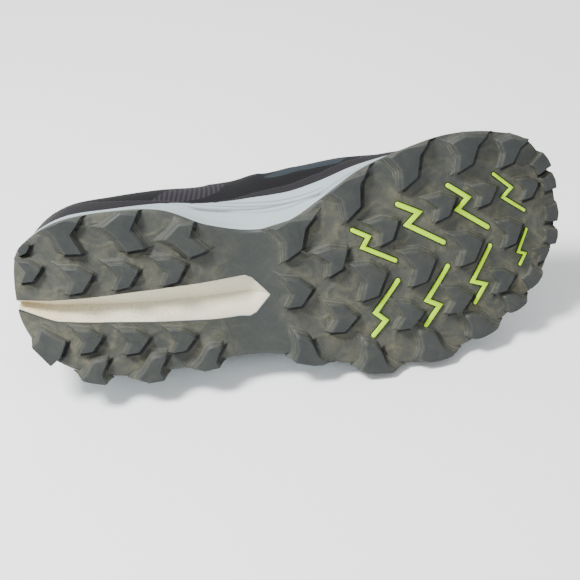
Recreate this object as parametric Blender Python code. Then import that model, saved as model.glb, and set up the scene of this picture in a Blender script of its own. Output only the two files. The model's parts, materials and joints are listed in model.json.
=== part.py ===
"""Trail running shoe, left foot, unworn, lying on its lateral side.

The shoe is drawn in its own axes: x from heel to toe, y towards the lateral side, z up from the
ground it would be worn on. The empty "rest_pose" then lays it on its lateral side, on three
points: the edge of its sole at the forefoot, and its upper at the collar and beside the throat.

All lengths are metres. The tables give shares of the named sizes beside them.
"""

import math
from typing import NamedTuple

import bmesh
import bpy
import numpy as np
from mathutils import Matrix, Vector

MM = 0.001

# Sizes of a men's US 10
SOLE_LENGTH = 304 * MM
BALL_WIDTH = 118 * MM
HEEL_WIDTH = 92 * MM
LUG_HEIGHT = 5 * MM
RUBBER = 2 * MM
HEEL_STACK = 26.5 * MM
BALL_STACK = 22.5 * MM
TOE_SPRING = 24 * MM
TOE_BED_SPRING = 13 * MM
HEEL_BEVEL = 12 * MM
ARCH_RAISE = 2.5 * MM
RIM_WALL = 4 * MM
RIM_HEIGHT = 10 * MM
MOULD_STEP = 1.2 * MM
CHANNEL_DEPTH = 8 * MM
LUG_DRAFT = 1.3 * MM

# Sizes of the upper and what sits in it
COLLAR_HEIGHT = 104 * MM
COLLAR_WIDTH = 66 * MM
UPPER_WALL = 2.2 * MM
COLLAR_PAD = 5 * MM
RAND_STEP = 0.8 * MM
EYESTAY_STEP = 0.8 * MM
INSOLE_THICKNESS = 4 * MM
TONGUE_THICKNESS = 4 * MM
TONGUE_RISE = 2 * MM
TONGUE_TAB = 24 * MM
LACE_WIDTH = 6 * MM
LACE_THICKNESS = 1.6 * MM
LACE_ARCH = 4.5 * MM
LACE_CLEARANCE = 0.8 * MM
LACE_OVER = 0.4 * MM

INSOLE_BEVEL = 1 * MM

GAP = 0.3 * MM
SEAT_RISE = 1 * MM
RING_POINTS = 72

# Steps that are small enough to read a curve's direction from: places round the shoe, share of a rib
PLACE_STEP = 0.05
RIB_STEP = 0.02

# Where the sole changes its height and width, as shares of its length
TOE_SPRING_FROM = 0.62
HEEL_BEVEL_TO = 0.15
ARCH_FROM = 0.34
ARCH_TO = 0.50
HEEL_ZONE_TO = 0.30
BALL_ZONE_FROM = 0.65


class Station(NamedTuple):
    """One cross-section of the sole and the rib of the upper that stands on it."""

    along: float          # place, share of the sole's length
    medial: float         # rubber's medial edge, share of the width there
    lateral: float        # rubber's lateral edge, share of the width there
    flare_medial: float   # how far the foam's rim stands out, share of the rim's wall
    flare_lateral: float
    rim: float            # rim over the footbed, share of the rim's height
    ledge: float          # moulded line, share of the side wall's height
    open_along: float     # rib's end at the opening, share of the sole's length
    open_width: float     # half of the opening there, share of the collar's width
    open_height: float    # its height over the ground, share of the collar's height
    crown: float          # 0 for an upright wall, 1 for a rib that curls over the foot
    swell_medial: float   # how far the rib bulges, share of the rim's wall
    swell_lateral: float
    pad: float            # how much of the collar's padding it has


STATIONS = (
    Station(0.000, -0.011, -0.011, -0.40, -0.40, 0.90, 0.62, 0.024, 0.000, 0.96, 0.00, 0.45, 0.45, 1.0),
    Station(0.010, -0.283, 0.163, -0.35, -0.40, 0.90, 0.64, 0.029, 0.235, 0.955, 0.00, 0.60, 0.45, 1.0),
    Station(0.043, -0.402, 0.321, -0.35, -0.50, 0.85, 0.66, 0.052, 0.395, 0.93, 0.00, 1.00, 0.60, 1.0),
    Station(0.105, -0.495, 0.440, -0.60, -0.60, 0.80, 0.68, 0.105, 0.520, 0.85, 0.00, 1.60, 0.65, 1.0),
    Station(0.191, -0.516, 0.500, -0.85, -0.60, 0.80, 0.70, 0.190, 0.560, 0.765, 0.00, 1.90, 0.50, 1.0),
    Station(0.289, -0.484, 0.489, -0.30, -0.20, 0.90, 0.72, 0.272, 0.525, 0.775, 0.10, 2.30, 0.40, 1.0),
    Station(0.368, -0.349, 0.455, 1.90, 0.20, 1.05, 0.62, 0.335, 0.455, 0.875, 0.30, 2.80, 0.40, 0.7),
    Station(0.441, -0.267, 0.430, 3.30, 0.20, 1.10, 0.48, 0.388, 0.395, 0.865, 0.50, 3.20, 0.40, 0.2),
    Station(0.510, -0.271, 0.436, 3.00, 0.00, 1.00, 0.40, 0.441, 0.350, 0.825, 0.65, 4.00, 0.50, 0.0),
    Station(0.579, -0.351, 0.469, 1.30, -0.50, 0.85, 0.32, 0.493, 0.305, 0.775, 0.78, 4.20, 0.50, 0.0),
    Station(0.651, -0.449, 0.492, -0.20, -1.00, 0.70, 0.28, 0.546, 0.275, 0.725, 0.88, 3.20, 0.50, 0.0),
    Station(0.730, -0.513, 0.496, -1.10, -1.20, 0.60, 0.22, 0.599, 0.245, 0.680, 0.95, 1.80, 0.45, 0.0),
    Station(0.816, -0.547, 0.441, -1.30, -1.25, 0.55, 0.22, 0.645, 0.200, 0.638, 1.00, 0.80, 0.35, 0.0),
    Station(0.901, -0.517, 0.322, -1.30, -1.25, 0.50, 0.24, 0.678, 0.135, 0.608, 1.00, 0.30, 0.30, 0.0),
    Station(0.967, -0.424, 0.153, -1.25, -1.25, 0.50, 0.28, 0.695, 0.065, 0.594, 1.00, 0.10, 0.10, 0.0),
    Station(1.000, -0.153, -0.153, -1.25, -1.25, 0.50, 0.30, 0.700, 0.000, 0.590, 1.00, 0.00, 0.00, 0.0),
)
TOE = len(STATIONS) - 1
TURN = 2 * TOE


class ChannelRow(NamedTuple):
    """One cross-section of the foam channel that splits the heel."""

    along: float     # share of the sole's length
    medial: float    # share of the heel's width
    crease: float
    lateral: float
    depth: float     # share of the channel's depth


CHANNEL = (
    ChannelRow(-0.040, -0.030, -0.005, 0.020, 0.60),
    ChannelRow(0.010, -0.026, 0.005, 0.045, 0.65),
    ChannelRow(0.070, -0.018, 0.035, 0.118, 0.80),
    ChannelRow(0.158, -0.014, 0.060, 0.152, 0.95),
    ChannelRow(0.250, -0.014, 0.085, 0.190, 1.00),
    ChannelRow(0.340, -0.018, 0.090, 0.215, 1.00),
    ChannelRow(0.422, -0.027, 0.095, 0.232, 0.90),
    ChannelRow(0.434, -0.008, 0.098, 0.215, 0.70),
    ChannelRow(0.463, 0.105, 0.110, 0.116, 0.05),
)


class Lug(NamedTuple):
    """One lug of the tread: its outline's name, middle, size and turn."""

    outline: str
    along: float     # share of the sole's length
    across: float    # share of the width there
    length: float    # share of the lug's own full size
    width: float
    turn: float      # degrees towards the lateral side
    mirrored: bool = False


LUG_SIZE = 23 * MM

# Outlines in a unit square: first heel to toe, then medial to lateral
LUG_OUTLINES = {
    "arrow": ((-.44, -.46), (.03, -.40), (.50, -.05), (.10, .44), (-.38, .48), (-.12, .05)),
    "shoulder": ((-.49, -.33), (-.14, -.50), (.44, -.48), (.23, -.26), (.09, .25), (-.30, .48),
                 (-.26, -.01)),
    "brake": ((-.50, -.22), (-.04, -.50), (.36, -.42), (.13, -.05), (.42, .44), (0, .46),
              (-.28, -.03)),
    "block": ((-.50, -.40), (.40, -.50), (.50, 0), (.40, .50), (-.50, .40), (-.38, 0)),
}

LUGS = (
    # Middle row
    Lug("arrow", 0.648, 0.067, 0.76, 0.94, -6),
    Lug("arrow", 0.740, 0.038, 0.74, 0.88, -6),
    Lug("arrow", 0.832, -0.014, 0.70, 0.82, -6),
    Lug("arrow", 0.914, -0.048, 0.58, 0.68, -8),
    # Medial inner row
    Lug("arrow", 0.586, -0.055, 0.72, 0.68, -20),
    Lug("arrow", 0.684, -0.160, 0.66, 0.64, -16),
    Lug("arrow", 0.792, -0.230, 0.66, 0.62, -12),
    Lug("arrow", 0.872, -0.252, 0.58, 0.56, -8),
    Lug("arrow", 0.956, -0.238, 0.48, 0.52, -4),
    # Lateral inner row
    Lug("arrow", 0.514, 0.090, 0.66, 0.74, 4),
    Lug("arrow", 0.588, 0.240, 0.70, 0.70, 8),
    Lug("arrow", 0.704, 0.262, 0.68, 0.68, 6),
    Lug("arrow", 0.804, 0.228, 0.66, 0.66, 4),
    Lug("arrow", 0.890, 0.178, 0.58, 0.58, 0),
    Lug("arrow", 0.972, 0.090, 0.40, 0.36, -10),
    # Medial edge
    Lug("shoulder", 0.524, -0.180, 1.00, 0.95, 0),
    Lug("shoulder", 0.634, -0.330, 1.00, 0.98, -10),
    Lug("shoulder", 0.744, -0.430, 0.95, 0.98, -2),
    Lug("shoulder", 0.850, -0.446, 0.85, 0.84, 8),
    Lug("shoulder", 0.930, -0.412, 0.68, 0.72, 18),
    Lug("block", 0.986, -0.338, 0.44, 0.40, -30),
    # Toe
    Lug("block", 0.998, -0.240, 0.34, 0.38, -12),
    Lug("block", 0.998, -0.090, 0.34, 0.40, 4),
    Lug("block", 0.993, 0.020, 0.34, 0.34, 16),
    # Lateral edge
    Lug("shoulder", 0.522, 0.394, 0.86, 0.84, 0, True),
    Lug("shoulder", 0.644, 0.448, 0.92, 0.86, 2, True),
    Lug("shoulder", 0.750, 0.424, 0.92, 0.86, -6, True),
    Lug("shoulder", 0.840, 0.362, 0.80, 0.72, -18, True),
    Lug("shoulder", 0.908, 0.284, 0.60, 0.54, -26, True),
    Lug("block", 0.949, 0.200, 0.38, 0.42, 50),
    # Heel, medial edge
    Lug("block", 0.026, -0.370, 0.44, 0.34, 52),
    Lug("brake", 0.112, -0.408, 0.95, 0.90, 8),
    Lug("brake", 0.220, -0.385, 0.95, 0.96, 0),
    Lug("brake", 0.325, -0.288, 0.88, 0.84, -10),
    # Heel, medial inner row
    Lug("arrow", 0.036, -0.215, 0.60, 0.56, 0),
    Lug("arrow", 0.124, -0.138, 0.68, 0.66, 0),
    Lug("arrow", 0.208, -0.134, 0.68, 0.66, -2),
    Lug("arrow", 0.294, -0.128, 0.68, 0.68, -4),
    # Heel, lateral inner row
    Lug("arrow", 0.127, 0.240, 0.62, 0.60, 2),
    Lug("arrow", 0.210, 0.280, 0.64, 0.60, 2),
    Lug("arrow", 0.294, 0.306, 0.64, 0.60, 2),
    # Heel, lateral edge
    Lug("block", 0.048, 0.270, 0.72, 0.76, 40),
    Lug("brake", 0.130, 0.450, 0.78, 0.72, 4, True),
    Lug("brake", 0.236, 0.474, 0.80, 0.76, 4, True),
    Lug("brake", 0.340, 0.448, 0.76, 0.72, 4, True),
)


class Stuff(NamedTuple):
    """What a sub-part is made of."""

    colour: tuple
    roughness: float
    density: float     # kg per cubic metre, for the way the shoe comes to lie


STUFFS = {
    "outsole": Stuff((0.085, 0.090, 0.095), 0.80, 1100),
    "midsole": Stuff((0.620, 0.660, 0.670), 0.60, 220),
    "insole": Stuff((0.050, 0.050, 0.055), 0.90, 200),
    "upper": Stuff((0.012, 0.012, 0.015), 0.85, 420),
    "tongue": Stuff((0.020, 0.020, 0.022), 0.90, 200),
    "laces": Stuff((0.030, 0.030, 0.032), 0.80, 600),
}

# Rows of rings up the side of the foam, as shares of the height under and over the moulded line
SIDE_BELOW = (0.0, 0.18, 0.55, 0.94)
SIDE_ABOVE = (0.06, 0.45, 0.80, 1.0)

# The foam's side flares from its foot on, and the part under the moulded line sets back from there
FLARE_AT_FOOT = 0.15
MOULD_STEP_FROM = 0.5

# The liner's side is upright up to this share of its thickness
INSOLE_SHOULDER = 0.7

# Powers that bend a rib: an upright one inward, and one that curls over the foot inward and upward
UPRIGHT_INWARD = 1.5
CURL_INWARD = 0.85
CURL_UPWARD = 0.95

# The collar's padding grows between these shares of the rib
PAD_FROM = 0.45
PAD_FULL = 0.85

# Rows of rings up the upper, as shares of the rib; the rand and the eyestay are steps in the wall
RAND_TOP = 0.26
EYESTAY_FROM = 0.80
EYESTAY_STATIONS = (6.3, 16.0)
UPPER_ROWS = (0.0, 0.02, 0.12, 0.25, 0.27, 0.40, 0.55, 0.68, 0.79, 0.81, 0.90, 1.0)
LINING_ROWS = (1.0, 0.90, 0.80, 0.68, 0.52, 0.36, 0.18, 0.0)
EDGE_ANGLES = (45, 90, 135)
EDGE_RUN = 0.06

# Eyelets, as places between the stations, and where they sit on the rib
EYELETS = (6.6, 7.7, 8.8, 9.9, 11.0, 12.0)
EYELET_ROW = 0.90

# A lace from its eyelet to the throat: share of that way, and share of the lean to its other eyelet
LACE_START = ((0.0, 0.0), (0.6, 0.06), (1.0, 0.12))
LACE_MIDDLE = (0.2, 0.4, 0.5, 0.6, 0.8)

# Tongue: stations that it passes under, and how far its wings reach down the ribs
TONGUE_STATIONS = (7.0, 7.5, 8.0, 8.8, 9.6, 10.4, 11.2, 12.0, 12.8, 13.5)
TONGUE_WINGS = (0.88, 0.94, 1.0)
TONGUE_MIDDLE = (0.25, 0.5, 0.75)
TONGUE_CLEARANCE = 1.3 * MM
TONGUE_EDGE = 0.35

# The tab over the top eyelets: share of its length, and share of the tongue's width that is left
TONGUE_TAB_ROWS = ((1.0, 0.72), (0.6, 0.76), (0.22, 0.80))
TONGUE_TAB_LEAN = Vector((-0.58, 0.0, 0.81))

# The shoe lies on the face of its hull that looks this much to its lateral side
LATERAL_FACING = 0.8


def smooth(value):
    """Ease a share between 0 and 1."""
    share = min(max(value, 0.0), 1.0)
    return share * share * (3 - 2 * share)


def mix(first, second, share):
    """Blend two values."""
    return first + (second - first) * share


def width_at(along):
    """Width of the sole that the table's shares refer to, at a share of its length."""
    zone = (along - HEEL_ZONE_TO) / (BALL_ZONE_FROM - HEEL_ZONE_TO)
    return mix(HEEL_WIDTH, BALL_WIDTH, smooth(zone))


def tread_rise(x):
    """Height of the rubber's underside over the ground, at a place along the sole."""
    along = x / SOLE_LENGTH
    rise = LUG_HEIGHT
    if along > TOE_SPRING_FROM:
        rise += TOE_SPRING * ((along - TOE_SPRING_FROM) / (1 - TOE_SPRING_FROM)) ** 2
    if along < HEEL_BEVEL_TO:
        rise += HEEL_BEVEL * ((HEEL_BEVEL_TO - along) / HEEL_BEVEL_TO) ** 2
    if ARCH_FROM < along < ARCH_TO:
        rise += ARCH_RAISE * math.sin(math.pi * (along - ARCH_FROM) / (ARCH_TO - ARCH_FROM)) ** 2
    return rise


def foam_underside(x):
    """Height of the foam's underside, just over the rubber."""
    return tread_rise(x) + RUBBER + GAP


def bed_height(x):
    """Height of the footbed that the foam gives."""
    along = x / SOLE_LENGTH
    zone = (along - HEEL_ZONE_TO) / (BALL_ZONE_FROM - HEEL_ZONE_TO)
    height = mix(HEEL_STACK, BALL_STACK, smooth(zone))
    if along > BALL_ZONE_FROM:
        height += TOE_BED_SPRING * ((along - BALL_ZONE_FROM) / (1 - BALL_ZONE_FROM)) ** 2
    return height


def around(lateral, medial):
    """Put two columns of the table in a ring: heel, lateral side, toe, medial side."""
    lateral_side = [getattr(station, lateral) for station in STATIONS]
    medial_side = [getattr(station, medial) for station in STATIONS[1:-1]]
    return np.array(lateral_side + medial_side[::-1])


def ring_value(column, place):
    """Read a ring's column between its stations, on a smooth closed curve."""
    index = math.floor(place)
    share = place - index
    a, b, c, d = (column[(index + step) % TURN] for step in (-1, 0, 1, 2))
    return 0.5 * (2 * b + (c - a) * share + (2 * a - 5 * b + 4 * c - d) * share ** 2
                  + (3 * b - a - 3 * c + d) * share ** 3)


ALONG = around("along", "along")
ACROSS = around("lateral", "medial")
FLARE = around("flare_lateral", "flare_medial")
RIM = around("rim", "rim")
LEDGE = around("ledge", "ledge")
OPEN_ALONG = around("open_along", "open_along")
OPEN_WIDTH = around("open_width", "open_width")
OPEN_HEIGHT = around("open_height", "open_height")
CROWN = around("crown", "crown")
SWELL = around("swell_lateral", "swell_medial")
PAD = around("pad", "pad")
SIDES = np.array([1.0] * (TOE + 1) + [-1.0] * (TOE - 1))


def rubber_edge(place):
    """Point of the rubber's outline, seen from below."""
    along = ring_value(ALONG, place)
    return Vector((along * SOLE_LENGTH, ring_value(ACROSS, place) * width_at(along)))


def edge_outward(place):
    """Direction out of the outline, level with the ground."""
    tangent = rubber_edge(place + PLACE_STEP) - rubber_edge(place - PLACE_STEP)
    return Vector((-tangent.y, tangent.x)).normalized()


def foam_edge(place, height_share):
    """Outline of the foam at a share of its side's height."""
    flare = ring_value(FLARE, place) * RIM_WALL * smooth(mix(FLARE_AT_FOOT, 1.0, height_share))
    return rubber_edge(place) + edge_outward(place) * flare


def last_edge(place):
    """Outline of the upper's foot, inside the foam's rim."""
    inset = ring_value(FLARE, place) * RIM_WALL - RIM_WALL - GAP
    return rubber_edge(place) + edge_outward(place) * inset


def rim_height(place):
    """Height of the foam's rim over the ground."""
    return bed_height(last_edge(place).x) + ring_value(RIM, place) * RIM_HEIGHT


def opening_point(place):
    """End of an upper's rib, at the collar or the throat."""
    along = ring_value(OPEN_ALONG, place)
    side = 1.0 if place % TURN <= TOE else -1.0
    across = side * abs(ring_value(OPEN_WIDTH * SIDES, place)) * COLLAR_WIDTH
    return Vector((along * SOLE_LENGTH, across, ring_value(OPEN_HEIGHT, place) * COLLAR_HEIGHT))


def rib_point(place, share):
    """Point of the upper's outside: share 0 at the foam's rim, 1 at the opening."""
    foot = last_edge(place)
    low = rim_height(place) + SEAT_RISE
    end = opening_point(place)
    crown = ring_value(CROWN, place)
    angle = share * math.pi / 2
    inward = mix(share ** UPRIGHT_INWARD, (1 - math.cos(angle)) ** CURL_INWARD, crown)
    upward = mix(share, math.sin(angle) ** CURL_UPWARD, crown)
    swell = ring_value(SWELL, place) * RIM_WALL * math.sin(math.pi * share)
    plan = foot + (Vector((end.x, end.y)) - foot) * inward + edge_outward(place) * swell
    return Vector((plan.x, plan.y, mix(low, end.z, upward)))


def rib_outward(place, share):
    """Direction out of the upper's surface."""
    low, high = max(share - RIB_STEP, 0.0), min(share + RIB_STEP, 1.0)
    inner = min(share, 1.0 - RIB_STEP)
    tangent = rib_point(place + PLACE_STEP, inner) - rib_point(place - PLACE_STEP, inner)
    return tangent.cross(rib_point(place, high) - rib_point(place, low)).normalized() * -1


def wall_at(place, share):
    """Thickness of the upper's wall, with the collar's padding."""
    padding = ring_value(PAD, place) * smooth((share - PAD_FROM) / (PAD_FULL - PAD_FROM))
    return UPPER_WALL + COLLAR_PAD * padding


def overlay_at(place, share):
    """How far the rand and the eyestay stand out of the upper."""
    station = min(place % TURN, TURN - place % TURN)
    if 0.0 < share < RAND_TOP:
        return RAND_STEP
    if share > EYESTAY_FROM and EYESTAY_STATIONS[0] <= station <= EYESTAY_STATIONS[1]:
        return EYESTAY_STEP
    return 0.0


def new_object(name, mesh):
    """Add a mesh to the scene with a material of its own."""
    stuff = STUFFS[name]
    obj = bpy.data.objects.new(name, mesh)
    bpy.context.scene.collection.objects.link(obj)
    material = bpy.data.materials.new(name)
    material.use_nodes = True
    shader = material.node_tree.nodes["Principled BSDF"]
    shader.inputs["Base Color"].default_value = (*stuff.colour, 1.0)
    shader.inputs["Roughness"].default_value = stuff.roughness
    shader.inputs["Metallic"].default_value = 0.0
    mesh.materials.append(material)
    return obj


def to_mesh(name, bm):
    """Turn a bmesh into a mesh with its faces outward."""
    bmesh.ops.recalc_face_normals(bm, faces=bm.faces)
    mesh = bpy.data.meshes.new(name)
    bm.to_mesh(mesh)
    bm.free()
    return mesh


def bridge(bm, first, second):
    """Join two rings of as many vertices."""
    count = len(first)
    for index in range(count):
        following = (index + 1) % count
        bm.faces.new((first[index], first[following], second[following], second[index]))


def close_across(bm, ring):
    """Close a ring with strips from its lateral to its medial side."""
    half = len(ring) // 2
    for index in range(half):
        corners = [ring[index], ring[index + 1], ring[-index - 1], ring[-index % len(ring)]]
        bm.faces.new(list(dict.fromkeys(corners)))


def stacked(name, rings):
    """Make a closed mesh from a stack of rings round the foot."""
    bm = bmesh.new()
    rows = [[bm.verts.new(point) for point in ring] for ring in rings]
    for lower, upper in zip(rows, rows[1:]):
        bridge(bm, lower, upper)
    close_across(bm, rows[0])
    close_across(bm, rows[-1])
    return to_mesh(name, bm)


def ring_places():
    """Places round the shoe where the rings have their points."""
    return [TURN * index / RING_POINTS for index in range(RING_POINTS)]


def apply_cuts(obj, others, operation):
    """Cut or join an object with others, and drop those."""
    for other in others:
        modifier = obj.modifiers.new(operation, "BOOLEAN")
        modifier.operation = operation
        modifier.solver = "EXACT"
        modifier.use_self = operation == "UNION"
        modifier.object = other
    bpy.context.view_layer.update()
    graph = bpy.context.evaluated_depsgraph_get()
    mesh = bpy.data.meshes.new_from_object(obj.evaluated_get(graph))
    obj.modifiers.clear()
    obj.data = mesh
    for other in others:
        bpy.data.objects.remove(other)


def channel_cutter():
    """Wedge that takes the heel's channel out of the rubber and the foam."""
    below = -LUG_HEIGHT
    rows = []
    for row in CHANNEL:
        x = row.along * SOLE_LENGTH
        low = foam_underside(max(x, 0.0)) - GAP / 2
        medial, crease, lateral = (share * HEEL_WIDTH for share in (row.medial, row.crease, row.lateral))
        rows.append([(x, medial, below), (x, medial, low), (x, crease, low + row.depth * CHANNEL_DEPTH),
                     (x, lateral, low), (x, lateral, below)])
    bm = bmesh.new()
    sections = [[bm.verts.new(point) for point in row] for row in rows]
    for first, second in zip(sections, sections[1:]):
        bridge(bm, first, second)
    bm.faces.new(sections[0])
    bm.faces.new(sections[-1])
    cutter = bpy.data.objects.new("channel_cutter", to_mesh("channel_cutter", bm))
    bpy.context.scene.collection.objects.link(cutter)
    return cutter


def lug_corners(lug, growth):
    """Plan corners of a lug, grown out from its outline by a length."""
    middle = Vector((lug.along * SOLE_LENGTH, lug.across * width_at(lug.along)))
    side = -1.0 if lug.mirrored else 1.0
    length = lug.length * LUG_SIZE + 2 * growth
    width = lug.width * LUG_SIZE + 2 * growth
    turn = Matrix.Rotation(math.radians(lug.turn), 2)
    return [middle + turn @ Vector((along * length, side * across * width))
            for along, across in LUG_OUTLINES[lug.outline]]


def add_lug(bm, lug):
    """Add a lug as a tapered prism that reaches half-way into the rubber."""
    foot = [bm.verts.new((point.x, point.y, tread_rise(point.x) + RUBBER / 2))
            for point in lug_corners(lug, LUG_DRAFT)]
    tread = [bm.verts.new((point.x, point.y, tread_rise(point.x) - LUG_HEIGHT))
             for point in lug_corners(lug, 0.0)]
    bridge(bm, foot, tread)
    bm.faces.new(foot)
    bm.faces.new(tread)


def make_outsole():
    """Rubber plate with its lugs, split at the heel by the channel."""
    rings = []
    for lift in (0.0, RUBBER):
        ring = []
        for place in ring_places():
            edge = rubber_edge(place)
            ring.append((edge.x, edge.y, tread_rise(edge.x) + lift))
        rings.append(ring)
    plate = new_object("outsole", stacked("outsole", rings))
    bm = bmesh.new()
    for lug in LUGS:
        add_lug(bm, lug)
    lugs = bpy.data.objects.new("lugs", to_mesh("lugs", bm))
    bpy.context.scene.collection.objects.link(lugs)
    apply_cuts(plate, [lugs], "UNION")
    apply_cuts(plate, [channel_cutter()], "DIFFERENCE")
    return plate


def make_midsole():
    """Foam with its flared side, moulded line, rim, footbed and channel."""
    places = ring_places()
    rings = []
    for share, above in [(s, False) for s in SIDE_BELOW] + [(s, True) for s in SIDE_ABOVE]:
        ring = []
        for place in places:
            ledge = ring_value(LEDGE, place)
            height_share = mix(ledge, 1.0, share) if above else ledge * share
            edge = foam_edge(place, height_share)
            if not above:
                edge -= edge_outward(place) * MOULD_STEP * smooth(share / MOULD_STEP_FROM)
            low = foam_underside(edge.x)
            ring.append((edge.x, edge.y, mix(low, rim_height(place), height_share)))
        rings.append(ring)
    inner = [(last_edge(place) + edge_outward(place) * GAP) for place in places]
    rings.append([(point.x, point.y, rim_height(place)) for point, place in zip(inner, places)])
    rings.append([(point.x, point.y, bed_height(point.x)) for point in inner])
    foam = new_object("midsole", stacked("midsole", rings))
    apply_cuts(foam, [channel_cutter()], "DIFFERENCE")
    return foam


def make_insole():
    """Liner that lies on the footbed inside the upper."""
    levels = ((0.0, 0.0), (INSOLE_THICKNESS * INSOLE_SHOULDER, 0.0), (INSOLE_THICKNESS, INSOLE_BEVEL))
    rings = []
    for lift, inset in levels:
        ring = []
        for place in ring_places():
            edge = last_edge(place) - edge_outward(place) * (UPPER_WALL + GAP + inset)
            ring.append((edge.x, edge.y, bed_height(edge.x) + GAP + lift))
        rings.append(ring)
    return new_object("insole", stacked("insole", rings))


def make_upper():
    """One hollow shell: outside up, over the padded edge, lining down, and across its foot."""
    places = ring_places()
    rings = [[on_bed(place, last_edge(place)) for place in places]]
    for share in UPPER_ROWS:
        rings.append([rib_point(place, share) + rib_outward(place, share) * overlay_at(place, share)
                      for place in places])
    for angle in EDGE_ANGLES:
        rings.append([edge_point(place, math.radians(angle)) for place in places])
    for share in LINING_ROWS:
        rings.append([lining_point(place, share) for place in places])
    rings.append([on_bed(place, lining_foot(place)) for place in places])
    bm = bmesh.new()
    rows = [[bm.verts.new(point) for point in ring] for ring in rings]
    for lower, upper in zip(rows, rows[1:]):
        bridge(bm, lower, upper)
    bridge(bm, rows[-1], rows[0])
    return new_object("upper", to_mesh("upper", bm))


def on_bed(place, point):
    """Put a point of the upper's foot just over the footbed."""
    return Vector((point.x, point.y, bed_height(last_edge(place).x) + GAP))


def lining_foot(place):
    """Foot of the lining, level with the outside's."""
    return last_edge(place) - edge_outward(place) * UPPER_WALL


def lining_point(place, share):
    """Point of the upper's inside."""
    if share == 0.0:
        return Vector((*lining_foot(place), rim_height(place) + SEAT_RISE))
    return rib_point(place, share) - rib_outward(place, share) * wall_at(place, share)


def edge_point(place, angle):
    """Point of the rounded edge that joins outside and lining at the opening."""
    outside = rib_point(place, 1.0) + rib_outward(place, 1.0) * overlay_at(place, 1.0)
    inside = lining_point(place, 1.0)
    middle = (outside + inside) / 2
    onward = (rib_point(place, 1.0) - rib_point(place, 1.0 - EDGE_RUN)).normalized()
    reach = (outside - inside).length / 2
    return middle + (outside - middle) * math.cos(angle) + onward * reach * math.sin(angle)


def tongue_section(station):
    """Top of the tongue across the foot, from its lateral to its medial wing."""
    def under(place, share):
        depth = wall_at(place, share) + TONGUE_CLEARANCE
        return rib_point(place, share) - rib_outward(place, share) * depth

    lateral = [under(station, share) for share in TONGUE_WINGS]
    medial = [under(TURN - station, share) for share in TONGUE_WINGS]
    middle = [mix(lateral[-1], medial[-1], share) + Vector((0, 0, TONGUE_RISE * math.sin(math.pi * share)))
              for share in TONGUE_MIDDLE]
    return lateral + middle + medial[::-1]


def make_tongue():
    """Padded tongue under the eyestay, with the tab that stands out over the top eyelets."""
    sections = [tongue_section(station) for station in TONGUE_STATIONS]
    tabs = []
    for reach, width in TONGUE_TAB_ROWS:
        narrowing = Matrix.Diagonal((1.0, width, 1.0))
        tabs.append([narrowing @ point + TONGUE_TAB_LEAN * TONGUE_TAB * reach for point in sections[0]])
    sections = tabs + sections
    bm = bmesh.new()
    top = [[bm.verts.new(point) for point in section] for section in sections]
    below = []
    for row, section in enumerate(sections):
        before, after = sections[max(row - 1, 0)], sections[min(row + 1, len(sections) - 1)]
        under = []
        for column, point in enumerate(section):
            onward = after[column] - before[column]
            across = section[min(column + 1, len(section) - 1)] - section[max(column - 1, 0)]
            into_shoe = onward.cross(across).normalized()
            taper = TONGUE_EDGE if column in (0, len(section) - 1) else 1.0
            under.append(bm.verts.new(point + into_shoe * TONGUE_THICKNESS * taper))
        below.append(under)
    for grid in (top, below):
        for first, second in zip(grid, grid[1:]):
            for column in range(len(first) - 1):
                bm.faces.new((first[column], first[column + 1], second[column + 1], second[column]))
    rim_top = top[0] + [row[-1] for row in top[1:]] + top[-1][-2::-1] + [row[0] for row in top[-2:0:-1]]
    rim_below = (below[0] + [row[-1] for row in below[1:]] + below[-1][-2::-1]
                 + [row[0] for row in below[-2:0:-1]])
    bridge(bm, rim_top, rim_below)
    return new_object("tongue", to_mesh("tongue", bm))


def eyelet_point(place, row, over):
    """Middle of a lace that lies on the eyestay, and the way out of its surface."""
    outward = rib_outward(place, row)
    lift = EYESTAY_STEP + LACE_CLEARANCE + LACE_THICKNESS / 2 + over
    return rib_point(place, row) + outward * lift, outward


def lace_route(lateral, medial, over):
    """Route of a crossing: up one eyestay, over the tongue and down the other one."""
    opposite = TURN - medial
    near, far = [], []
    for way, lean in LACE_START:
        row = mix(EYELET_ROW, 1.0, way)
        near.append(eyelet_point(mix(lateral, opposite, lean), row, over))
        far.append(eyelet_point(TURN - mix(opposite, lateral, lean), row, over))
    across = []
    for share in LACE_MIDDLE:
        arch = Vector((0, 0, LACE_ARCH * math.sin(math.pi * share)))
        across.append((mix(near[-1][0], far[-1][0], share) + arch, mix(near[-1][1], far[-1][1], share)))
    return near + across + far[::-1]


def lace_strip(name, lateral, medial, over):
    """Flat strip of lace between two eyelets, given as places round the shoe."""
    route = lace_route(lateral, medial, over)
    bm = bmesh.new()
    rows = []
    for index, (middle, outward) in enumerate(route):
        forward = route[min(index + 1, len(route) - 1)][0] - route[max(index - 1, 0)][0]
        sideways = forward.cross(outward).normalized() * LACE_WIDTH / 2
        upward = sideways.cross(forward).normalized() * LACE_THICKNESS / 2
        rows.append([bm.verts.new(middle + corner) for corner in
                     (sideways + upward, upward - sideways, -sideways - upward, sideways - upward)])
    for first, second in zip(rows, rows[1:]):
        bridge(bm, first, second)
    bm.faces.new(rows[0])
    bm.faces.new(rows[-1])
    strip = bpy.data.objects.new(name, to_mesh(name, bm))
    bpy.context.scene.collection.objects.link(strip)
    return strip


def make_laces():
    """Crossings of the lace, joined where they cross and at each eyelet."""
    last = EYELETS[-1]
    strips = [lace_strip("bar", last, TURN - last, 0.0)]
    for lower, upper in zip(EYELETS[1:], EYELETS):
        strips.append(lace_strip("cross", lower, TURN - upper, 0.0))
        strips.append(lace_strip("cross", upper, TURN - lower, LACE_OVER))
    laces = new_object("laces", strips[0].data)
    bpy.data.objects.remove(strips[0])
    apply_cuts(laces, strips[1:], "UNION")
    return laces


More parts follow.
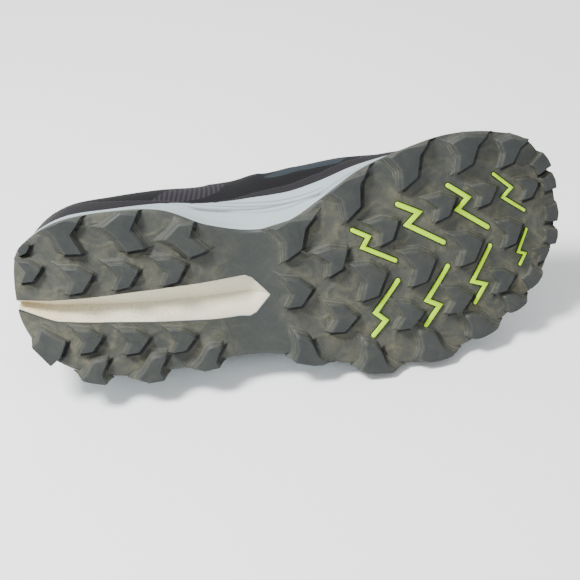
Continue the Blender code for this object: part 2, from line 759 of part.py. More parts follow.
def centre_of_mass(parts):
    """Middle of the shoe's weight, from each part's volume and density."""
    total = 0.0
    moment = Vector()
    for part in parts:
        bm = bmesh.new()
        bm.from_mesh(part.data)
        bmesh.ops.triangulate(bm, faces=bm.faces)
        for face in bm.faces:
            a, b, c = (vertex.co for vertex in face.verts)
            mass = a.dot(b.cross(c)) / 6 * STUFFS[part.name].density
            total += mass
            moment += (a + b + c) / 4 * mass
        bm.free()
    return moment / total


def lying_pose(parts):
    """Turn that lays the shoe on its lateral side, on the face of its hull that carries it."""
    middle = centre_of_mass(parts)
    bm = bmesh.new()
    for part in parts:
        for vertex in part.data.vertices:
            bm.verts.new(vertex.co)
    bmesh.ops.convex_hull(bm, input=bm.verts)
    down = None
    for face in bm.faces:
        normal = face.normal.copy()
        if normal.dot(face.calc_center_median() - middle) < 0:
            normal.negate()
        foot = middle + normal * normal.dot(face.verts[0].co - middle)
        if normal.y > LATERAL_FACING and bmesh.geometry.intersect_face_point(face, foot):
            down = normal
    bm.free()
    ahead = (Vector((1, 0, 0)) - down * down.x).normalized()
    up = -down
    turn = Matrix((ahead, up.cross(ahead), up))
    corners = [turn @ vertex.co for part in parts for vertex in part.data.vertices]
    low = Vector([min(corner[axis] for corner in corners) for axis in range(3)])
    high = Vector([max(corner[axis] for corner in corners) for axis in range(3)])
    place = Vector((-(low.x + high.x) / 2, -(low.y + high.y) / 2, -low.z))
    return Matrix.Translation(place) @ turn.to_4x4()


def main():
    """Build the shoe and lay it down."""
    for obj in list(bpy.data.objects):
        bpy.data.objects.remove(obj, do_unlink=True)
    parts = [make_outsole(), make_midsole(), make_insole(), make_upper(), make_tongue(), make_laces()]
    rest = bpy.data.objects.new("rest_pose", None)
    bpy.context.scene.collection.objects.link(rest)
    rest.matrix_world = lying_pose(parts)
    for part in parts:
        part.parent = rest


if __name__ == "__main__":
    main()
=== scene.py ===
"""Looks of the trail running shoe: tread, foam, upper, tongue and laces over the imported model.

Every piece is built in the shoe's own axes, in metres: x from heel to toe, y towards the lateral
side, z up from the ground that the shoe would be worn on. The record's two tread mounts say how
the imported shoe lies, and each piece is laid down the same way.
"""

import json
import logging
import math
from dataclasses import dataclass, field
from enum import Enum
from typing import NamedTuple, Sequence

import bmesh
import bpy
import numpy as np
from bmesh.types import BMesh
from bpy.types import ID, Material, Mesh, Node, NodeSocket, NodeTree, Object
from mathutils import Matrix, Vector


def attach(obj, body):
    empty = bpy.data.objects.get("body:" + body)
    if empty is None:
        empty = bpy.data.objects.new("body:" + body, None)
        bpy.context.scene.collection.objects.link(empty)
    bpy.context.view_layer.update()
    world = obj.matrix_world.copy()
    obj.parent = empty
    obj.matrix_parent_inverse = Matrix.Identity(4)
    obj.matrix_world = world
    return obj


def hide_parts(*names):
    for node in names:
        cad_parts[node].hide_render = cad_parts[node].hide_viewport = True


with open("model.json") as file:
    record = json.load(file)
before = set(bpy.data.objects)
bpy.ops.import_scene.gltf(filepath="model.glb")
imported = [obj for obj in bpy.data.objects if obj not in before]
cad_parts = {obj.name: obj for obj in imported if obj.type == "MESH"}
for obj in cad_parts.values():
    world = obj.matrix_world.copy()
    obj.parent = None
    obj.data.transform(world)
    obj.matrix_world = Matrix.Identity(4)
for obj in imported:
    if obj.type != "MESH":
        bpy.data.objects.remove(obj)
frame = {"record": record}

logging.basicConfig(level=logging.INFO, format="%(message)s")
log = logging.getLogger("shoe")

MM = 0.001
SEED = 7

# Sizes of the solids, which the pieces keep
SOLE_LENGTH = 304 * MM
BALL_WIDTH = 118 * MM
HEEL_WIDTH = 92 * MM
LUG_HEIGHT = 5 * MM
LUG_SIZE = 23 * MM
RUBBER = 2 * MM
HEEL_STACK = 26.5 * MM
BALL_STACK = 22.5 * MM
TOE_SPRING = 24 * MM
TOE_BED_SPRING = 13 * MM
HEEL_BEVEL = 12 * MM
ARCH_RAISE = 2.5 * MM
RIM_WALL = 4 * MM
RIM_HEIGHT = 10 * MM
MOULD_STEP = 1.2 * MM
CHANNEL_DEPTH = 8 * MM
COLLAR_HEIGHT = 104 * MM
COLLAR_WIDTH = 66 * MM
UPPER_WALL = 2.2 * MM
COLLAR_PAD = 5 * MM
INSOLE_THICKNESS = 4 * MM
TONGUE_THICKNESS = 4 * MM
TONGUE_RISE = 2 * MM
TONGUE_TAB = 24 * MM
TONGUE_CLEARANCE = 1.3 * MM
EYESTAY_STEP = 0.8 * MM
LACE_WIDTH = 6 * MM
LACE_THICKNESS = 1.6 * MM
LACE_ARCH = 4.5 * MM
LACE_CLEARANCE = 0.8 * MM
GAP = 0.3 * MM
SEAT_RISE = 1 * MM

# Where the sole changes its height and width, as shares of its length
TOE_SPRING_FROM = 0.62
HEEL_BEVEL_TO = 0.15
ARCH_FROM = 0.34
ARCH_TO = 0.50
HEEL_ZONE_TO = 0.30
BALL_ZONE_FROM = 0.65
FLARE_AT_FOOT = 0.15
PAD_FROM = 0.45
PAD_FULL = 0.85

# Steps that are small enough to read a curve's direction from: places round the shoe, share of a rib
PLACE_STEP = 0.05
RIB_STEP = 0.02

# Distance under which points of a closed rim become one
MERGE = 0.02 * MM

Array = np.ndarray


class Station(NamedTuple):
    """One cross-section of the sole and the rib of the upper that stands on it."""

    along: float
    medial: float
    lateral: float
    flare_medial: float
    flare_lateral: float
    rim: float
    ledge: float
    open_along: float
    open_width: float
    open_height: float
    crown: float
    swell_medial: float
    swell_lateral: float
    pad: float


STATIONS = tuple(Station(*row) for row in (
    (0.000, -0.011, -0.011, -0.40, -0.40, 0.90, 0.62, 0.024, 0.000, 0.96, 0.00, 0.45, 0.45, 1.0),
    (0.010, -0.283, 0.163, -0.35, -0.40, 0.90, 0.64, 0.029, 0.235, 0.955, 0.00, 0.60, 0.45, 1.0),
    (0.043, -0.402, 0.321, -0.35, -0.50, 0.85, 0.66, 0.052, 0.395, 0.93, 0.00, 1.00, 0.60, 1.0),
    (0.105, -0.495, 0.440, -0.60, -0.60, 0.80, 0.68, 0.105, 0.520, 0.85, 0.00, 1.60, 0.65, 1.0),
    (0.191, -0.516, 0.500, -0.85, -0.60, 0.80, 0.70, 0.190, 0.560, 0.765, 0.00, 1.90, 0.50, 1.0),
    (0.289, -0.484, 0.489, -0.30, -0.20, 0.90, 0.72, 0.272, 0.525, 0.775, 0.10, 2.30, 0.40, 1.0),
    (0.368, -0.349, 0.455, 1.90, 0.20, 1.05, 0.62, 0.335, 0.455, 0.875, 0.30, 2.80, 0.40, 0.7),
    (0.441, -0.267, 0.430, 3.30, 0.20, 1.10, 0.48, 0.388, 0.395, 0.865, 0.50, 3.20, 0.40, 0.2),
    (0.510, -0.271, 0.436, 3.00, 0.00, 1.00, 0.40, 0.441, 0.350, 0.825, 0.65, 4.00, 0.50, 0.0),
    (0.579, -0.351, 0.469, 1.30, -0.50, 0.85, 0.32, 0.493, 0.305, 0.775, 0.78, 4.20, 0.50, 0.0),
    (0.651, -0.449, 0.492, -0.20, -1.00, 0.70, 0.28, 0.546, 0.275, 0.725, 0.88, 3.20, 0.50, 0.0),
    (0.730, -0.513, 0.496, -1.10, -1.20, 0.60, 0.22, 0.599, 0.245, 0.680, 0.95, 1.80, 0.45, 0.0),
    (0.816, -0.547, 0.441, -1.30, -1.25, 0.55, 0.22, 0.645, 0.200, 0.638, 1.00, 0.80, 0.35, 0.0),
    (0.901, -0.517, 0.322, -1.30, -1.25, 0.50, 0.24, 0.678, 0.135, 0.608, 1.00, 0.30, 0.30, 0.0),
    (0.967, -0.424, 0.153, -1.25, -1.25, 0.50, 0.28, 0.695, 0.065, 0.594, 1.00, 0.10, 0.10, 0.0),
    (1.000, -0.153, -0.153, -1.25, -1.25, 0.50, 0.30, 0.700, 0.000, 0.590, 1.00, 0.00, 0.00, 0.0),
))
TOE = len(STATIONS) - 1
TURN = 2 * TOE


class ChannelRow(NamedTuple):
    """One cross-section of the foam channel that splits the heel."""

    along: float
    medial: float
    crease: float
    lateral: float
    depth: float


CHANNEL = tuple(ChannelRow(*row) for row in (
    (-0.040, -0.030, -0.005, 0.020, 0.60),
    (0.010, -0.026, 0.005, 0.045, 0.65),
    (0.070, -0.018, 0.035, 0.118, 0.80),
    (0.158, -0.014, 0.060, 0.152, 0.95),
    (0.250, -0.014, 0.085, 0.190, 1.00),
    (0.340, -0.018, 0.090, 0.215, 1.00),
    (0.422, -0.027, 0.095, 0.232, 0.90),
    (0.434, -0.008, 0.098, 0.215, 0.70),
    (0.463, 0.105, 0.110, 0.116, 0.05),
))


class Lug(NamedTuple):
    """One lug of the tread: its outline's name, middle, size and turn."""

    outline: str
    along: float
    across: float
    length: float
    width: float
    turn: float
    mirrored: bool = False


LUG_OUTLINES = {
    "arrow": ((-.44, -.46), (.03, -.40), (.50, -.05), (.10, .44), (-.38, .48), (-.12, .05)),
    "shoulder": ((-.49, -.33), (-.14, -.50), (.44, -.48), (.23, -.26), (.09, .25), (-.30, .48),
                 (-.26, -.01)),
    "brake": ((-.50, -.22), (-.04, -.50), (.36, -.42), (.13, -.05), (.42, .44), (0, .46),
              (-.28, -.03)),
    "block": ((-.50, -.40), (.40, -.50), (.50, 0), (.40, .50), (-.50, .40), (-.38, 0)),
}

LUGS = tuple(Lug(*row) for row in (
    ("arrow", 0.648, 0.067, 0.76, 0.94, -6), ("arrow", 0.740, 0.038, 0.74, 0.88, -6),
    ("arrow", 0.832, -0.014, 0.70, 0.82, -6), ("arrow", 0.914, -0.048, 0.58, 0.68, -8),
    ("arrow", 0.586, -0.055, 0.72, 0.68, -20), ("arrow", 0.684, -0.160, 0.66, 0.64, -16),
    ("arrow", 0.792, -0.230, 0.66, 0.62, -12), ("arrow", 0.872, -0.252, 0.58, 0.56, -8),
    ("arrow", 0.956, -0.238, 0.48, 0.52, -4), ("arrow", 0.514, 0.090, 0.66, 0.74, 4),
    ("arrow", 0.588, 0.240, 0.70, 0.70, 8), ("arrow", 0.709, 0.265, 0.68, 0.68, 6),
    ("arrow", 0.804, 0.228, 0.66, 0.66, 4), ("arrow", 0.890, 0.178, 0.58, 0.58, 0),
    ("arrow", 0.972, 0.090, 0.40, 0.36, -10), ("shoulder", 0.524, -0.180, 1.00, 0.95, 0),
    ("shoulder", 0.634, -0.330, 1.00, 0.98, -10), ("shoulder", 0.744, -0.430, 0.95, 0.98, -2),
    ("shoulder", 0.850, -0.446, 0.85, 0.84, 8), ("shoulder", 0.930, -0.412, 0.68, 0.72, 18),
    ("block", 0.986, -0.338, 0.44, 0.40, -30), ("block", 0.998, -0.240, 0.34, 0.38, -12),
    ("block", 0.998, -0.090, 0.34, 0.40, 4), ("block", 0.993, 0.020, 0.34, 0.34, 16),
    ("shoulder", 0.522, 0.394, 0.86, 0.84, 0, True),
    ("shoulder", 0.644, 0.448, 0.92, 0.86, 2, True),
    ("shoulder", 0.750, 0.424, 0.92, 0.86, -6, True),
    ("shoulder", 0.840, 0.362, 0.80, 0.72, -18, True),
    ("shoulder", 0.908, 0.284, 0.60, 0.54, -26, True),
    ("block", 0.949, 0.200, 0.38, 0.42, 50), ("block", 0.026, -0.370, 0.44, 0.34, 52),
    ("brake", 0.112, -0.408, 0.95, 0.90, 8), ("brake", 0.220, -0.385, 0.95, 0.96, 0),
    ("brake", 0.325, -0.288, 0.88, 0.84, -10), ("arrow", 0.036, -0.215, 0.60, 0.56, 0),
    ("arrow", 0.124, -0.138, 0.68, 0.66, 0), ("arrow", 0.208, -0.134, 0.68, 0.66, -2),
    ("arrow", 0.294, -0.128, 0.68, 0.68, -4), ("arrow", 0.127, 0.240, 0.62, 0.60, 2),
    ("arrow", 0.210, 0.280, 0.64, 0.60, 2), ("arrow", 0.294, 0.306, 0.64, 0.60, 2),
    ("block", 0.048, 0.270, 0.72, 0.76, 40), ("brake", 0.130, 0.450, 0.78, 0.72, 4, True),
    ("brake", 0.236, 0.474, 0.80, 0.76, 4, True), ("brake", 0.340, 0.448, 0.76, 0.72, 4, True),
))


class Inlay(NamedTuple):
    """One zigzag of bright rubber set in the forefoot: its four points and width, in millimetres."""

    points: tuple
    width: float


INLAYS = tuple(Inlay(*row) for row in (
    (((190, -20.4), (198.3, -15.5), (194.5, -10), (211.5, -0.3)), 2.3),
    (((216.2, -31.2), (227.2, -25), (220.1, -19.1), (239.3, -6.2)), 2.6),
    (((245, -37.2), (255.6, -28.7), (248.9, -23.1), (265, -10.3)), 2.5),
    (((271.4, -39), (280.9, -29.7), (275.4, -25.3), (287, -15.7)), 1.7),
    (((211.8, 11.2), (197.4, 27.7), (202.7, 32.8), (194.9, 40.4)), 2.4),
    (((240.4, 7.6), (226.7, 25), (233.5, 29), (224.5, 39.1)), 2.4),
    (((265.6, 0.4), (253.4, 18.8), (260.7, 21.8), (253.7, 31)), 2.1),
    (((287.4, -4.6), (281.4, 7.1), (285.4, 9), (281.9, 14.5)), 1.5),
))

# The record's tread mounts, in the shoe's own axes
HEEL_TREAD = Vector((64.6950 * MM, -35.4200 * MM, 0))
FOREFOOT_TREAD = Vector((180.0114 * MM, -7.0437 * MM, 0))


def smooth(value: Array) -> Array:
    """Ease shares between 0 and 1."""
    share = np.clip(value, 0.0, 1.0)
    return share * share * (3 - 2 * share)


def mix(first: Array, second: Array, share: Array) -> Array:
    """Blend two values."""
    return first + (second - first) * share


def ridge(distance: Array, width: float) -> Array:
    """Give 1 on a line and fade to 0 over a width beside it."""
    return np.exp(-(distance / width) ** 2)


def unit(vectors: Array) -> Array:
    """Scale vectors to length 1."""
    return vectors / np.maximum(np.linalg.norm(vectors, axis=-1, keepdims=True), 1e-12)


def curve(a: Array, b: Array, c: Array, d: Array, share: Array) -> Array:
    """Blend b into c on the smooth curve that runs from a through both to d."""
    return 0.5 * (2 * b + (c - a) * share + (2 * a - 5 * b + 4 * c - d) * share ** 2
                  + (3 * b - a - 3 * c + d) * share ** 3)


def run_length(points: Array) -> Array:
    """Length run along a line of points, from its first one."""
    steps = np.linalg.norm(np.diff(points, axis=0), axis=-1)
    return np.concatenate([np.zeros((1, *steps.shape[1:])), np.cumsum(steps, axis=0)])


def width_at(along: Array) -> Array:
    """Width of the sole that the tables' shares refer to, at shares of its length."""
    zone = (along - HEEL_ZONE_TO) / (BALL_ZONE_FROM - HEEL_ZONE_TO)
    return mix(HEEL_WIDTH, BALL_WIDTH, smooth(zone))


def tread_rise(x: Array) -> Array:
    """Height of the rubber's underside over the ground.

    Args:
        x: Places along the sole, in metres.

    Returns:
        The heights, in metres.
    """
    along = np.asarray(x) / SOLE_LENGTH
    toe = np.maximum((along - TOE_SPRING_FROM) / (1 - TOE_SPRING_FROM), 0.0)
    heel = np.maximum((HEEL_BEVEL_TO - along) / HEEL_BEVEL_TO, 0.0)
    arch = np.clip((along - ARCH_FROM) / (ARCH_TO - ARCH_FROM), 0.0, 1.0)
    return (LUG_HEIGHT + TOE_SPRING * toe ** 2 + HEEL_BEVEL * heel ** 2
            + ARCH_RAISE * np.sin(np.pi * arch) ** 2)


def foam_underside(x: Array) -> Array:
    """Height of the foam's underside, just over the rubber."""
    return tread_rise(x) + RUBBER + GAP


def bed_height(x: Array) -> Array:
    """Height of the footbed that the foam gives.

    Args:
        x: Places along the sole, in metres.

    Returns:
        The heights, in metres.
    """
    along = np.asarray(x) / SOLE_LENGTH
    zone = (along - HEEL_ZONE_TO) / (BALL_ZONE_FROM - HEEL_ZONE_TO)
    toe = np.maximum((along - BALL_ZONE_FROM) / (1 - BALL_ZONE_FROM), 0.0)
    return mix(HEEL_STACK, BALL_STACK, smooth(zone)) + TOE_BED_SPRING * toe ** 2


class Lines:
    """The shoe's lines: smooth closed curves through the stations.

    A place is a number from 0 at the heel over TOE at the toe, along the lateral side, to TURN.
    """

    def __init__(self) -> None:
        """Put the table's columns in rings: heel, lateral side, toe, medial side."""
        sides = np.array([1.0] * (TOE + 1) + [-1.0] * (TOE - 1))
        columns = {name: (name, name) for name in Station._fields}
        columns["across"] = ("lateral", "medial")
        columns["flare"] = ("flare_lateral", "flare_medial")
        columns["swell"] = ("swell_lateral", "swell_medial")
        self.rings = {name: self.around([getattr(row, lateral) for row in STATIONS],
                                        [getattr(row, medial) for row in STATIONS])
                      for name, (lateral, medial) in columns.items()}
        self.rings["open_width"] *= sides

    @staticmethod
    def around(lateral: Sequence[float], medial: Sequence[float]) -> Array:
        """Join one value a station for each side into a ring."""
        return np.array(list(lateral) + list(medial)[1:-1][::-1])

    def read(self, ring: Array, place: Array) -> Array:
        """Read a ring between its stations.

        Args:
            ring: One value for each station round the shoe.
            place: Places round the shoe.

        Returns:
            The values there, on a smooth closed curve.
        """
        index = np.floor(place).astype(int)
        share = place - index
        return curve(*(ring[(index + step) % TURN] for step in (-1, 0, 1, 2)), share)

    def value(self, name: str, place: Array) -> Array:
        """Read one of the table's columns at places round the shoe."""
        return self.read(self.rings[name], np.asarray(place, float))

    def edge(self, place: Array) -> Array:
        """Points of the rubber's outline, seen from below."""
        along = self.value("along", place)
        return np.stack([along * SOLE_LENGTH, self.value("across", place) * width_at(along)], -1)

    def outward(self, place: Array) -> Array:
        """Directions out of the outline, level with the ground."""
        tangent = self.edge(place + PLACE_STEP) - self.edge(place - PLACE_STEP)
        return unit(np.stack([-tangent[..., 1], tangent[..., 0]], -1))

    def foam(self, place: Array, share: Array) -> Array:
        """Outline of the foam at shares of its side's height."""
        flare = self.value("flare", place) * RIM_WALL * smooth(mix(FLARE_AT_FOOT, 1.0, share))
        return self.edge(place) + self.outward(place) * flare[..., None]

    def last(self, place: Array) -> Array:
        """Outline of the upper's foot, inside the foam's rim."""
        inset = (self.value("flare", place) - 1) * RIM_WALL - GAP
        return self.edge(place) + self.outward(place) * inset[..., None]

    def rim(self, place: Array) -> Array:
        """Height of the foam's rim over the ground."""
        return bed_height(self.last(place)[..., 0]) + self.value("rim", place) * RIM_HEIGHT

    def opening(self, place: Array) -> Array:
        """Ends of the upper's ribs, at the collar or the throat."""
        across = (np.where(place % TURN <= TOE, 1.0, -1.0) * np.abs(self.value("open_width", place))
                  * COLLAR_WIDTH)
        return np.stack([self.value("open_along", place) * SOLE_LENGTH, across,
                         self.value("open_height", place) * COLLAR_HEIGHT], -1)

    def rib(self, place: Array, share: Array) -> Array:
        """Points of the upper's outside.

        Args:
            place: Places round the shoe.
            share: 0 at the foam's rim, 1 at the opening.

        Returns:
            The points, in metres, in the last axis.
        """
        place, share = np.broadcast_arrays(np.asarray(place, float), np.asarray(share, float))
        foot, end = self.last(place), self.opening(place)
        low = self.rim(place) + SEAT_RISE
        crown = self.value("crown", place)
        angle = share * np.pi / 2
        inward = mix(share ** 1.5, (1 - np.cos(angle)) ** 0.85, crown)
        upward = mix(share, np.sin(angle) ** 0.95, crown)
        swell = self.value("swell", place) * RIM_WALL * np.sin(np.pi * share)
        plan = foot + (end[..., :2] - foot) * inward[..., None] + self.outward(place) * swell[..., None]
        return np.concatenate([plan, mix(low, end[..., 2], upward)[..., None]], -1)

    def rib_outward(self, place: Array, share: Array) -> Array:
        """Directions out of the upper's surface.

        Args:
            place: Places round the shoe.
            share: 0 at the foam's rim, 1 at the opening.

        Returns:
            The directions, of length 1.
        """
        low, high = np.maximum(share - RIB_STEP, 0.0), np.minimum(share + RIB_STEP, 1.0)
        inner = np.minimum(share, 1.0 - RIB_STEP)
        tangent = self.rib(place + PLACE_STEP, inner) - self.rib(place - PLACE_STEP, inner)
        return -unit(np.cross(tangent, self.rib(place, high) - self.rib(place, low)))

    def wall(self, place: Array, share: Array) -> Array:
        """Thickness of the upper's wall, with the collar's padding."""
        padding = self.value("pad", place) * smooth((share - PAD_FROM) / (PAD_FULL - PAD_FROM))
        return UPPER_WALL + COLLAR_PAD * padding


LINES = Lines()


def resting(record: dict) -> Matrix:
    """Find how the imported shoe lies.

    Args:
        record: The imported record, whose first two mounts are on the heel's and the forefoot's tread.

    Returns:
        The matrix that takes the shoe's own axes to the row frame.
    """
    heel, forefoot = (Vector(mount["pos_m"]) for mount in record["mounts"][:2])
    up = -Vector(record["mounts"][0]["axis"]).normalized()
    flat = FOREFOOT_TREAD - HEEL_TREAD
    angle = math.atan2(flat.y, flat.x)
    run = (forefoot - heel).normalized()
    ahead = run * math.cos(angle) - up.cross(run) * math.sin(angle)
    turn = Matrix((ahead, up.cross(ahead), up)).transposed()
    return Matrix.Translation(heel - turn @ HEEL_TREAD) @ turn.to_4x4()


POSE = resting(frame["record"])


@dataclass
class Sheet:
    """A grid of points, the way that patterns run on it, and masks for its material."""

    points: Array
    run: Array
    wraps: bool = False
    flipped: bool = False
    masks: dict = field(default_factory=dict)

    def to_mesh(self, name: str) -> Mesh:
        """Make the grid's mesh.

        Args:
            name: Name of the mesh.

        Returns:
            The mesh, with its run as a UV map in metres and its masks as attributes.
        """
        rows, columns = self.points.shape[:2]
        index = np.arange(rows * columns).reshape(rows, columns)
        if self.wraps:
            index = np.concatenate([index, index[:, :1]], axis=1)
        corners = np.arange(rows * index.shape[1]).reshape(index.shape)
        order = [(0, 0), (0, 1), (1, 1), (1, 0)]
        if self.flipped:
            order.reverse()

        def quads(grid: Array) -> Array:
            """Corners of each face, in order."""
            return np.stack([grid[r:r + rows - 1, c:c + grid.shape[1] - 1] for r, c in order],
                            -1).reshape(-1, 4)

        mesh = bpy.data.meshes.new(name)
        mesh.from_pydata(self.points.reshape(-1, 3).tolist(), [], quads(index).tolist())
        run = np.broadcast_to(self.run, (*index.shape, 2)).reshape(-1, 2)
        layer = mesh.uv_layers.new(name="Run")
        layer.uv.foreach_set("vector", run[quads(corners).ravel()].astype(np.float32).ravel())
        for mask, values in self.masks.items():
            spread = np.broadcast_to(values, (rows, columns)).astype(np.float32)
            mesh.attributes.new(mask, "FLOAT", "POINT").data.foreach_set("value", spread.ravel())
        return mesh


def joined(name: str, meshes: Sequence[Mesh], weld: float = 0.0) -> Mesh:
    """Put meshes together in one, each with the material slot of its place in the list.

    Args:
        name: Name of the new mesh.
        meshes: The meshes, which are dropped.
        weld: Distance under which their vertices merge, in metres, or 0 to keep them apart.

    Returns:
        The new mesh.
    """
    bm = bmesh.new()
    for slot, mesh in enumerate(meshes):
        count = len(bm.faces)
        bm.from_mesh(mesh)
        bm.faces.ensure_lookup_table()
        for face in bm.faces[count:]:
            face.material_index = slot
        bpy.data.meshes.remove(mesh)
    if weld:
        bmesh.ops.remove_doubles(bm, verts=bm.verts, dist=weld)
    made = bpy.data.meshes.new(name)
    bm.to_mesh(made)
    bm.free()
    return made


def linked(name: str, data: ID) -> Object:
    """Put an object with some data in the scene.

    Args:
        name: Name of the object.
        data: Its mesh, light or camera.

    Returns:
        The object.
    """
    body = bpy.data.objects.new(name, data)
    bpy.context.scene.collection.objects.link(body)
    return body


def baked(body: Object, name: str) -> Mesh:
    """Turn an object with its modifier into a plain mesh.

    Args:
        body: The object, which is dropped with its own mesh.
        name: Name of the new mesh.

    Returns:
        The new mesh.
    """
    bpy.context.view_layer.update()
    graph = bpy.context.evaluated_depsgraph_get()
    made = bpy.data.meshes.new_from_object(body.evaluated_get(graph))
    mesh = body.data
    bpy.data.objects.remove(body)
    bpy.data.meshes.remove(mesh)
    made.name = name
    return made


def finished(bm: BMesh, mesh: Mesh) -> Mesh:
    """Turn the faces outward and put them in a mesh.

    Args:
        bm: The faces in the making, which are freed.
        mesh: The mesh.

    Returns:
        The same mesh.
    """
    bmesh.ops.recalc_face_normals(bm, faces=bm.faces)
    bm.to_mesh(mesh)
    bm.free()
    return mesh


def bridge(bm: BMesh, rings: Sequence[list]) -> None:
    """Join each ring of points with the next one, and close the first and the last.

    Args:
        bm: The faces in the making.
        rings: The rings, each with as many points.
    """
    for upper, lower in zip(rings, rings[1:]):
        for k in range(len(upper)):
            after = (k + 1) % len(upper)
            bm.faces.new((upper[k], upper[after], lower[after], lower[k]))
    bm.faces.new(rings[0])
    bm.faces.new(rings[-1])


def closed(mesh: Mesh, rows: int, columns: int) -> Mesh:
    """Join two faces of the same grid round their rim.

    Args:
        mesh: The mesh with the points of one face, then those of the other.
        rows: How many rows the grid has.
        columns: How many columns it has.

    Returns:
        The same mesh, closed, with one material.
    """
    bm = bmesh.new()
    bm.from_mesh(mesh)
    bm.verts.ensure_lookup_table()
    half = rows * columns
    index = np.arange(half).reshape(rows, columns)
    rim = [*index[0], *index[1:, -1], *index[-1, -2::-1], *index[-2:0:-1, 0]]
    for first, second in zip(rim, rim[1:] + rim[:1]):
        bm.faces.new([bm.verts[k] for k in (first, second, second + half, first + half)])
    bmesh.ops.remove_doubles(bm, verts=bm.verts, dist=MERGE)
    for face in bm.faces:
        face.material_index = 0
    return finished(bm, mesh)


def ring_run(counted: Array, grid: Array) -> Array:
    """How patterns run on rings: round the shoe, and from ring to ring.

    Args:
        counted: The ring whose length counts round the shoe.
        grid: The points of all rings.

    Returns:
        Both lengths in metres, with the first column again at the end.
    """
    around = run_length(np.concatenate([counted, counted[:1]]))
    up = run_length(grid)
    up = np.concatenate([up, up[:, :1]], axis=1)
    return np.stack([np.broadcast_to(around, up.shape), up], -1)


def linear(code: str) -> tuple[float, float, float, float]:
    """Turn an sRGB hex code into a linear colour."""
    shares = [int(code[start:start + 2], 16) / 255 for start in (1, 3, 5)]
    return (*(s / 12.92 if s <= 0.04045 else ((s + 0.055) / 1.055) ** 2.4 for s in shares), 1.0)


def tints(pair: tuple[str, str]) -> dict:
    """Inputs of a mix between two colours."""
    return {"A": linear(pair[0]), "B": linear(pair[1])}


def ranged(low: float, high: float, start: float, end: float) -> dict:
    """Inputs of a map range: values from low to high become start to end."""
    return {"From_Min": low, "From_Max": high, "To_Min": start, "To_Max": end}


# Settings that many nodes share
RGBA = {"data_type": "RGBA"}
EASED = {"interpolation_type": "SMOOTHSTEP"}
TIMES = {"operation": "MULTIPLY"}
CLAMPED = {"operation": "MULTIPLY_ADD", "use_clamp": True}


def add_node(tree: NodeTree, kind: str, settings: dict | None = None, inputs: dict | None = None) -> Node:
    """Add a node to a tree, set it and link it.

    Args:
        tree: The node tree.
        kind: The node's type.
        settings: Its properties.
        inputs: Its sockets by name or identifier, with _ for each space. Each has a value, a
            socket, or a node, whose first output is taken.

    Returns:
        The node.
    """
    node = tree.nodes.new(kind)
    for name, value in (settings or {}).items():
        setattr(node, name, value)
    for name, value in (inputs or {}).items():
        known = (name, name.replace("_", " "))
        socket = next(s for s in node.inputs if s.enabled and (s.identifier in known or s.name in known))
        if isinstance(value, Node):
            value = next(s for s in value.outputs if s.enabled)
        if isinstance(value, NodeSocket):
            tree.links.new(value, socket)
        else:
            socket.default_value = value
    return node


class Look:
    """A material in the making: its tree, its shader and the place that its patterns use."""

    def __init__(self, name: str, **settings: object) -> None:
        """Start a material.

        Args:
            name: Its name.
            settings: Values of the shader's own sockets.
        """
        self.material = bpy.data.materials.new(name)
        self.material.use_nodes = True
        self.tree = self.material.node_tree
        self.shader = self.tree.nodes["Principled BSDF"]
        for socket, value in settings.items():
            self.shader.inputs[socket.replace("_", " ")].default_value = value
        self.place = self.add("TexCoord").outputs["Object"]

    def add(self, kind: str, settings: dict | None = None, **inputs: object) -> Node:
        """Add a shader node by its type's last word."""
        return add_node(self.tree, "ShaderNode" + kind, settings, inputs)

    def mask(self, name: str) -> NodeSocket:
        """Read one of the piece's masks."""
        return self.add("Attribute", {"attribute_name": name}).outputs["Fac"]

    def run(self) -> NodeSocket:
        """Read how far along and across the piece a point lies, in metres."""
        return self.add("UVMap", {"uv_map": "Run"}).outputs["UV"]

    def finish(self, **inputs: object) -> Material:
        """Link the shader's inputs.

        Args:
            inputs: Nodes or sockets, by the name of the shader's socket.

        Returns:
            The material.
        """
        for name, value in inputs.items():
            if isinstance(value, Node):
                value = next(s for s in value.outputs if s.enabled)
            self.tree.links.new(value, self.shader.inputs[name.replace("_", " ")])
        return self.material


